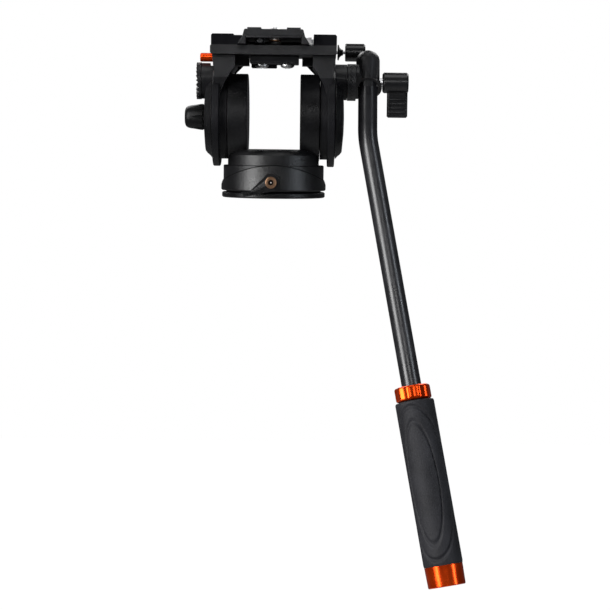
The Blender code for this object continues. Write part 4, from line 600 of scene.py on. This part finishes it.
def sweep(name, points, radius, sides, place, body, material):
    """A round rod along a route, closed at both ends."""
    shape = bmesh.new()
    rows = []
    count = len(points)
    side = None
    for number, point in enumerate(points):
        along = (points[min(number + 1, count - 1)] - points[max(number - 1, 0)]).normalized()
        if side is None:
            side = along.orthogonal().normalized()
        side = (side - along * side.dot(along)).normalized()
        across = along.cross(side)
        row = []
        for step in range(sides):
            angle = 2 * math.pi * step / sides
            spot = point + (side * math.cos(angle) + across * math.sin(angle)) * radius
            row.append(shape.verts.new(spot))
        rows.append(row)
    skin(shape, rows)
    close_ends(shape, rows)
    shape.transform(place)
    return mesh_piece(name, shape, body, material, smooth=50)


def split_large_faces(shape):
    """Flat faces with more than four corners become triangles."""
    bmesh.ops.triangulate(shape, faces=[face for face in shape.faces if len(face.verts) > 4])


def evenly(start, end, steps):
    """Values from start to end, both included."""
    return [start + (end - start) * step / steps for step in range(steps + 1)]


def facing_operator(place):
    """A frame at a place whose own Z axis points at the operator."""
    return Matrix.Translation(place) @ Matrix.Rotation(math.radians(90), 4, "X")


def facing_down(place):
    """A frame at a place whose own Z axis points down."""
    return Matrix.Translation(place) @ Matrix.Rotation(math.radians(180), 4, "X")


def hexagon(across_flats):
    """The outline of a hexagonal socket, as a radius for each angle."""

    def radius(angle):
        return across_flats / 2 / math.cos((angle + math.pi / 6) % (math.pi / 3) - math.pi / 6)

    return radius


# Thread: its flanks run between a narrow flat crest and a narrow flat root
FLANK_STEEPNESS = 1.3
FLANK_START = 0.15


def thread(radius, depth, pitch):
    """The radius of a screw thread for a height and an angle."""

    def radius_of(height, angle):
        turn = (height / pitch + angle / (2 * math.pi)) % 1
        return radius - depth * min(1.0, max(0.0, 2 * abs(turn - 0.5) * FLANK_STEEPNESS - FLANK_START))

    return radius_of


def from_end(height, start, length):
    """How far a height of the lower bar is from the nearer end of a piece on it."""
    return min(abs(height + start), abs(height + start + length))


# Grip: an oval panel with a groove round it on the front and on the back, inside a larger oval
GRIP_MIDDLE = -(GRIP_START + GRIP_LENGTH / 2)
PANEL_HALF_LENGTH = 0.042
PANEL_HALF_ANGLE = math.radians(46.7)
OUTER_HALF_LENGTH = 0.0525
OUTER_HALF_ANGLE = math.radians(87)
GRIP_OVALS = ((PANEL_HALF_LENGTH, PANEL_HALF_ANGLE), (OUTER_HALF_LENGTH, OUTER_HALF_ANGLE))
PANEL_TURN = math.radians(-20)
GROOVE_HALF_WIDTH = 0.0009
GROOVE_DEPTH = 0.0010
GRIP_INSET = 0.0001
GRIP_END_ROUND = 0.001
GRIP_END_DROP = 0.0004
GRIP_RINGS = 190
GRIP_STEPS = 150
# The rubber reaches the end cap, which the solid stops short of
GRIP_EXTRA_LENGTH = 0.00028


def oval_distance(height, angle, half_length, half_angle):
    """How far a point of the grip lies outside an oval, in metres; negative inside it."""
    along = (height - GRIP_MIDDLE) / half_length
    across = angle / half_angle
    return (math.hypot(along, across) - 1) * half_angle * GRIP_RADIUS


def grip_radius(height, angle):
    """The grip's radius. Angle 0 points along +X, and the panels face the operator and the lens."""
    around = (angle + math.pi / 2 - PANEL_TURN + math.pi / 2) % math.pi - math.pi / 2
    radius = GRIP_RADIUS - GRIP_INSET
    for half_length, half_angle in GRIP_OVALS:
        gap = abs(oval_distance(height, around, half_length, half_angle))
        if gap < GROOVE_HALF_WIDTH:
            radius -= GROOVE_DEPTH * 0.5 * (1 + math.cos(math.pi * gap / GROOVE_HALF_WIDTH))
    end = from_end(height, GRIP_START, GRIP_LENGTH)
    if end < GRIP_END_ROUND:
        radius -= GRIP_END_DROP * (1 - end / GRIP_END_ROUND) ** 2
    return radius


def grip_sleeve():
    """The rubber grip with its oval grooves."""
    heights = evenly(-GRIP_START, -GRIP_START - GRIP_LENGTH - GRIP_EXTRA_LENGTH, GRIP_RINGS)
    bore = TUBE_RADIUS + CLEARANCE
    made = sleeve("grip_sleeve", heights, GRIP_STEPS, grip_radius, bore, GRIP_FRAME, "pan_bar", rubber)
    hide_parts("grip")


# Orange ring: broad, smooth scallops and rounded ends
RING_SCALLOPS = 10
SCALLOP_DEPTH = 0.0008
RING_END_ROUND = 0.0012
RING_END_DROP = 0.0009
RING_ROWS = 14
RING_STEPS = 192


def fluted_radius(height, angle):
    """The orange ring's radius."""
    end = from_end(height, FRONT_RING_START, FRONT_RING_LENGTH)
    fall = max(0.0, 1 - end / RING_END_ROUND)
    dip = SCALLOP_DEPTH * (0.5 - 0.5 * math.cos(RING_SCALLOPS * angle))
    return FRONT_RING_RADIUS - dip - RING_END_DROP * fall * fall


def fluted_ring():
    """The orange ring in front of the grip."""
    heights = evenly(-FRONT_RING_START, -FRONT_RING_START - FRONT_RING_LENGTH, RING_ROWS)
    bore = TUBE_RADIUS + CLEARANCE
    made = sleeve("fluted_ring", heights, RING_STEPS, fluted_radius, bore, GRIP_FRAME, "pan_bar", orange)
    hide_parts("front_ring")


# Pads: each rib's corners, as shares of its pitch and of its height
PAD_RIBS = 37
PAD_RIB_HEIGHT = 0.0007
PAD_RIB_SHARES = ((0.15, 0), (0.35, 1), (0.70, 1), (0.90, 0))


def ribbed_pads():
    """The two rubber pads with fine ribs across their length."""
    for name in ("left_pad", "right_pad"):
        low, high = (Vector(corner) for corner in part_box(name))
        foot = high.z - PAD_RIB_HEIGHT
        pitch = (high.y - low.y) / PAD_RIBS
        outline = [(low.y, low.z), (low.y, foot)]
        for rib in range(PAD_RIBS):
            for along, up in PAD_RIB_SHARES:
                outline.append((low.y + (rib + along) * pitch, high.z if up else foot))
        outline += [(high.y, foot), (high.y, low.z)]
        shape = bmesh.new()
        sides = []
        for x in (low.x, high.x):
            sides.append([shape.verts.new((x, y, z)) for y, z in outline])
        skin(shape, sides)
        close_ends(shape, sides)
        split_large_faces(shape)
        made = mesh_piece("ribbed_" + name, shape, "sliding_plate", rubber, smooth=20)
        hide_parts(name)


# Screw heads: a socket, which narrows to its floor, and a groove and a chamfer round the flat head
SOCKET_DEPTH_SHARE = 0.62
SOCKET_FLOOR_SHARE = 0.94
SOCKET_CHAMFER = 0.0003
HEAD_GROOVE_SHARES = (0.74, 0.80, 0.86)
HEAD_GROOVE_DEPTH = 0.0002
HEAD_RIM_INSET = 0.0003
HEAD_RIM_DROP = 0.0001
HEAD_CHAMFER = 0.0005
DOME_START = math.radians(18)
DOME_END = math.radians(90)
DOME_STEPS = 8
DOME_FOOT_SHARE = 0.3
DOME_RISE_SHARE = 0.72
DOME_SOCKET_SHARE = 0.25
HEAD_STEPS = 48
LOCK_SCREW = dict(radius=0.0041, height=0.002, shank=0.0029, length=0.0083, across=0.0036)
COVER_SCREW = dict(radius=0.0049, height=0.0026, shank=0.0025, length=0.009, across=0.003)

# The steel pin that shows in the pan lock's socket, and a near-black disc on the socket's floor, which
# paints the shade in the socket
SOCKET_PIN = ((0, 0.0011), (0.0003, 0.0011), (0.00055, 0.00095), (0.00055, 0.0008), (0, 0.0008))
SOCKET_SHADE_DISC = ((0, 0.00095), (0.0017, 0.00095), (0.0017, 0.0007), (0, 0.0007))
SOCKET_PIN_STEPS = 24


def flat_head(radius, height, shank, length, across):
    """The profile of a round screw head with a groove, a chamfer and a hexagonal socket, on its shank."""
    floor_height = height - height * SOCKET_DEPTH_SHARE
    inner, middle, outer = (radius * share for share in HEAD_GROOVE_SHARES)
    return [
        (0, floor_height),
        (hexagon(across * SOCKET_FLOOR_SHARE), floor_height),
        (hexagon(across), height - SOCKET_CHAMFER),
        (hexagon(across + SOCKET_CHAMFER), height),
        (inner, height),
        (middle, height - HEAD_GROOVE_DEPTH),
        (outer, height),
        (radius - HEAD_RIM_INSET, height - HEAD_RIM_DROP),
        (radius, height - HEAD_CHAMFER),
        (radius, 0),
        (shank, 0),
        (shank, -length),
        (0, -length),
    ]


def domed_head(radius, height, shank, length, across):
    """The profile of a round screw head with a wide dome and a hexagonal socket, on its shank."""
    floor_height = height * DOME_SOCKET_SHARE
    profile = [(0, floor_height), (hexagon(across * SOCKET_FLOOR_SHARE), floor_height)]
    profile.append((hexagon(across), height))
    for angle in evenly(DOME_START, DOME_END, DOME_STEPS):
        rise = DOME_FOOT_SHARE + DOME_RISE_SHARE * math.cos(angle)
        profile.append((radius * math.sin(angle), height * rise))
    return profile + [(radius, 0), (shank, 0), (shank, -length), (0, -length)]


def screws():
    """The pan lock's socket screw, and the two domed screws under the platform."""
    place = facing_operator(PAN_LOCK_PLACE)
    profile = flat_head(**LOCK_SCREW)
    made = lathe("pan_lock_socket_screw", profile, HEAD_STEPS, place, "pan_lock", bronze, smooth=24)
    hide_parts("pan_lock_screw")
    lathe("socket_pin", SOCKET_PIN, SOCKET_PIN_STEPS, place, "pan_lock", bright)
    # A near-black disc on the socket's floor: painted shade in the socket
    lathe("socket_shade_disc", SOCKET_SHADE_DISC, SOCKET_PIN_STEPS, place, "pan_lock", rubber_and_shade)
    for node, x in (("left_cover_screw", -COVER_SCREW_X), ("right_cover_screw", COVER_SCREW_X)):
        place = facing_down((x, 0, COVER_SCREW_TOP))
        made = lathe("domed_" + node, domed_head(**COVER_SCREW), HEAD_STEPS, place, "tilt_head", bright)
        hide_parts(node)


# Camera screw: the thread from its foot to its tapered tip, over a head with a knurled rim
CAMERA_THREAD = thread(radius=0.0031, depth=0.0005, pitch=0.00127)
CAMERA_THREAD_FOOT = 0.1096
CAMERA_THREAD_TOP = 0.12
CAMERA_THREAD_ROWS = 60
CAMERA_TIP_RADIUS = 0.0024
CAMERA_TIP_TAPER = 0.0007
CAMERA_TIP_LENGTH = 0.0008
CAMERA_HEAD_RADIUS = 0.0052
CAMERA_HEAD_RIM = 0.1088
CAMERA_HEAD_FOOT = 0.1084
CAMERA_HEAD_FOOT_RADIUS = 0.0048
CAMERA_KNURL_DEPTH = 0.00015
CAMERA_SCREW_STEPS = 36
WASHER_STEPS = 48
WASHER_OUTLINE = (
    (0.0033, 0.1115),
    (0.0036, 0.1115),
    (0.0041, 0.1113),
    (0.0045, 0.11085),
    (0.0047, 0.1104),
    (0.0047, 0.1101),
    (0.0045, 0.11),
    (0.0033, 0.11),
)


def camera_thread_radius(height, angle):
    """The camera screw's radius, which shrinks at its tip."""
    taper = CAMERA_TIP_TAPER * min(1.0, (CAMERA_THREAD_TOP - height) / CAMERA_TIP_LENGTH)
    return min(CAMERA_THREAD(height, angle), CAMERA_TIP_RADIUS + taper)


def knurled_radius(angle):
    """The radius of the camera screw's knurled rim, where every other point lies deeper."""
    step = round(angle * CAMERA_SCREW_STEPS / (2 * math.pi))
    return CAMERA_HEAD_RADIUS - (CAMERA_KNURL_DEPTH if step % 2 else 0.0)


def camera_fixing():
    """The threaded camera screw with its head, and the domed bronze washer above the head."""
    outline = [
        (CAMERA_HEAD_FOOT_RADIUS, CAMERA_HEAD_FOOT),
        (knurled_radius, CAMERA_HEAD_RIM),
        (CAMERA_HEAD_RADIUS, CAMERA_THREAD_FOOT),
    ]
    for height in evenly(CAMERA_THREAD_FOOT, CAMERA_THREAD_TOP, CAMERA_THREAD_ROWS):
        outline.append((partial(camera_thread_radius, height), height))
    shape = bmesh.new()
    rows = [ring(shape, radius, height, CAMERA_SCREW_STEPS) for radius, height in outline]
    skin(shape, rows)
    close_ends(shape, rows)
    made = mesh_piece("threaded_camera_screw", shape, "camera_bolt", bright)
    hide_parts("camera_screw")
    made = ring_piece("domed_washer", WASHER_OUTLINE, WASHER_STEPS, WORLD_FRAME, "sliding_plate", bronze)
    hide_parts("screw_washer")


# Wavy seam of the base: a thin near-black cord, which paints the shadow in the seam, and whose height
# swings twice in a turn
SHADOW_CORD_RADIUS = 0.0359
SHADOW_CORD_WIRE_RADIUS = 0.00034
SHADOW_CORD_HEIGHT = 0.0173 + CLEARANCE
SHADOW_CORD_SWING = 0.0054
SHADOW_CORD_WAVES = 2
SHADOW_CORD_STEPS = 192
SHADOW_CORD_SIDES = 6


def wave_shadow_cord():
    """A near-black cord that follows the wave between the base's lower shell and the neck above it: a
    painted shadow in the seam.
    """
    shape = bmesh.new()
    rows = []
    for step in range(SHADOW_CORD_STEPS):
        angle = 2 * math.pi * step / SHADOW_CORD_STEPS
        height = SHADOW_CORD_HEIGHT - SHADOW_CORD_SWING * math.cos(SHADOW_CORD_WAVES * angle)
        row = []
        for corner in range(SHADOW_CORD_SIDES):
            turn = 2 * math.pi * corner / SHADOW_CORD_SIDES
            reach = SHADOW_CORD_RADIUS + SHADOW_CORD_WIRE_RADIUS * math.cos(turn)
            z = height + SHADOW_CORD_WIRE_RADIUS * math.sin(turn)
            row.append(shape.verts.new((reach * math.cos(angle), reach * math.sin(angle), z)))
        rows.append(row)
    skin(shape, rows, closed=True)
    mesh_piece("wave_shadow_cord", shape, "pan_housing", rubber_and_shade, smooth=80)


# Tube's coat: where it starts above the bend, and the points of the straight tube below it
COAT_START = 0.0045
COAT_THICKNESS = 0.00005
COAT_REACHES = (0.06, 0.12, 0.186)
COAT_SIDES = 64
BEND_STEPS = 24


def painted_tube():
    """The tube's coat of paint: a smooth skin over the bent tube, from the elbow to the orange ring."""
    bend_start = TUBE_BEND_DISTANCE - TUBE_BEND_RADIUS * math.tan(TUBE_BEND_ANGLE / 2)
    points = [Vector((BAR_OFFSET, 0, -COAT_START))]
    for angle in evenly(0, TUBE_BEND_ANGLE, BEND_STEPS):
        x = BAR_OFFSET + TUBE_BEND_RADIUS * (1 - math.cos(angle))
        points.append(Vector((x, 0, -bend_start - TUBE_BEND_RADIUS * math.sin(angle))))
    for reach in COAT_REACHES:
        x = BAR_OFFSET + reach * math.sin(TUBE_BEND_ANGLE)
        points.append(Vector((x, 0, -TUBE_BEND_DISTANCE - reach * math.cos(TUBE_BEND_ANGLE))))
    # The coat reflects less near the elbow, which paints shade on the tube's upper part
    coat = painted_shade_by_height("tube_painted_shade", tube_paint, height=0.046, below=0.55, above=0.14, soft=0.007)
    sweep("painted_tube", points, TUBE_RADIUS + COAT_THICKNESS, COAT_SIDES, BAR_FRAME, "pan_bar", coat)


# Spring of the orange button, along X behind it
SPRING_WIRE_RADIUS = 0.00035
SPRING_TURNS = 5
SPRING_TURN_STEPS = 20
SPRING_WIRE_SIDES = 10
SPRING_RADIUS = 0.0021
SPRING_HEIGHT = 0.0986
SPRING_LOW_X = -0.0377
SPRING_HIGH_X = -0.0324


def button_spring():
    """The return spring behind the orange button."""
    places = evenly(
        SPRING_LOW_X + SPRING_WIRE_RADIUS,
        SPRING_HIGH_X - SPRING_WIRE_RADIUS,
        SPRING_TURNS * SPRING_TURN_STEPS,
    )
    points = []
    for step, x in enumerate(places):
        angle = 2 * math.pi * step / SPRING_TURN_STEPS
        y = SPRING_RADIUS * math.sin(angle)
        points.append(Vector((x, y, SPRING_HEIGHT + SPRING_RADIUS * math.cos(angle))))
    made = sweep(
        "coiled_spring", points, SPRING_WIRE_RADIUS, SPRING_WIRE_SIDES, WORLD_FRAME, "tilt_head", steel
    )
    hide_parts("safety_spring")
    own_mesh(made)


# Wing knob's ribs: their heights, their ends along X, and how far they stand out of the wing
WING_RIB_HEIGHTS = (0.0700, 0.0670, 0.0640, 0.0610)
WING_RIB_HALF_WIDTH = 0.0007
WING_RIB_START = 0.0808
WING_RIB_END = 0.0940
WING_RIB_FOOT = 0.0022
WING_RIB_TOP = 0.0032
WING_RIB_ROUND = 0.00025


def wing_ribs():
    """Four fine ribs across each face of the wing, for the thumb and the finger."""
    blocks = []
    for near, far in ((-WING_RIB_TOP, -WING_RIB_FOOT), (WING_RIB_FOOT, WING_RIB_TOP)):
        for height in WING_RIB_HEIGHTS:
            low = (WING_RIB_START, near, height - WING_RIB_HALF_WIDTH)
            high = (WING_RIB_END, far, height + WING_RIB_HALF_WIDTH)
            blocks.append((low, high))
    rounded_blocks("wing_ribs", blocks, WING_RIB_ROUND, "wing_nut", plastic)


# Camera plate's lip and stop, each by its lowest and highest corner, and the stop's screw
PLATE_LIP = ((-0.0189, -0.0448, 0.1103), (0.0189, -0.0428, 0.1118))
PLATE_LIP_ROUND = 0.0002
PLATE_STOP = ((-0.0132, -0.030, 0.1072), (-0.0064, -0.026, 0.1118))
PLATE_STOP_ROUND = 0.0004
STOP_SCREW_PLACE = (-0.0098, -0.0301, 0.1094)
STOP_SCREW_PROFILE = (
    (0, 0.0004),
    (hexagon(0.0015), 0.0004),
    (hexagon(0.0018), 0.0013),
    (0.0017, 0.0012),
    (0.0022, 0.0007),
    (0.0023, 0),
    (0.0011, 0),
    (0.0011, -0.002),
    (0, -0.002),
)
STOP_SCREW_STEPS = 36


def plate_details():
    """The plate's front lip and the small stop with its screw in the hollow."""
    rounded_blocks("plate_lip", [PLATE_LIP], PLATE_LIP_ROUND, "sliding_plate", satin)
    rounded_blocks("plate_stop", [PLATE_STOP], PLATE_STOP_ROUND, "sliding_plate", satin)
    place = facing_operator(STOP_SCREW_PLACE)
    profile = STOP_SCREW_PROFILE
    lathe("plate_stop_screw", profile, STOP_SCREW_STEPS, place, "sliding_plate", steel, smooth=24)


# Ribs that brace the platform: the (x, z) of each one's foot on the arm and of its head, on one side
GUSSETS = (((0.0330, 0.0890), (0.0268, 0.0940)), ((0.0300, 0.0885), (0.0240, 0.0938)))
GUSSET_THICKNESS = 0.0012
GUSSET_SLANT = 0.0004
GUSSET_TOP = 0.0999
GUSSET_SPREAD = 0.0010
GUSSET_SHOULDER = 0.0045
GUSSET_START = 0.0290
GUSSET_END = 0.0305


def arm_gussets():
    """Two pairs of slanted ribs that brace the platform's far corners against the arms."""
    shape = bmesh.new()
    for side in (-1, 1):
        for (foot_x, foot_z), (head_x, head_z) in GUSSETS:
            outline = [
                (foot_x, foot_z),
                (foot_x - GUSSET_THICKNESS, foot_z - GUSSET_SLANT),
                (head_x - GUSSET_THICKNESS, head_z + GUSSET_SLANT),
                (head_x - GUSSET_THICKNESS, GUSSET_TOP),
                (head_x, GUSSET_TOP),
                (foot_x + GUSSET_SPREAD, foot_z + GUSSET_SHOULDER),
            ]
            ends = []
            for y in (GUSSET_START, GUSSET_END):
                ends.append([shape.verts.new((side * x, y, z)) for x, z in outline])
            skin(shape, ends)
            close_ends(shape, ends)
    split_large_faces(shape)
    mesh_piece("arm_gussets", shape, "tilt_head", cast)


# Tripod bushing: the thread in its bore, and its outer radius
TRIPOD_THREAD = thread(radius=0.0052, depth=0.0007, pitch=0.00159)
TRIPOD_THREAD_ROWS = 60
BUSHING_RADIUS = 0.008
BUSHING_STEPS = 48


def tripod_thread():
    """The brass bushing with the thread that the tripod's screw goes into."""
    low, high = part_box("thread_bushing")
    heights = evenly(high[2], low[2], TRIPOD_THREAD_ROWS)
    made = sleeve(
        "threaded_bushing",
        heights,
        BUSHING_STEPS,
        TRIPOD_THREAD,
        BUSHING_RADIUS,
        WORLD_FRAME,
        "base",
        brass,
    )
    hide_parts("thread_bushing")


round_edges()
grip_sleeve()
fluted_ring()
ribbed_pads()
screws()
camera_fixing()
wave_shadow_cord()
painted_tube()
button_spring()
wing_ribs()
plate_details()
arm_gussets()
tripod_thread()
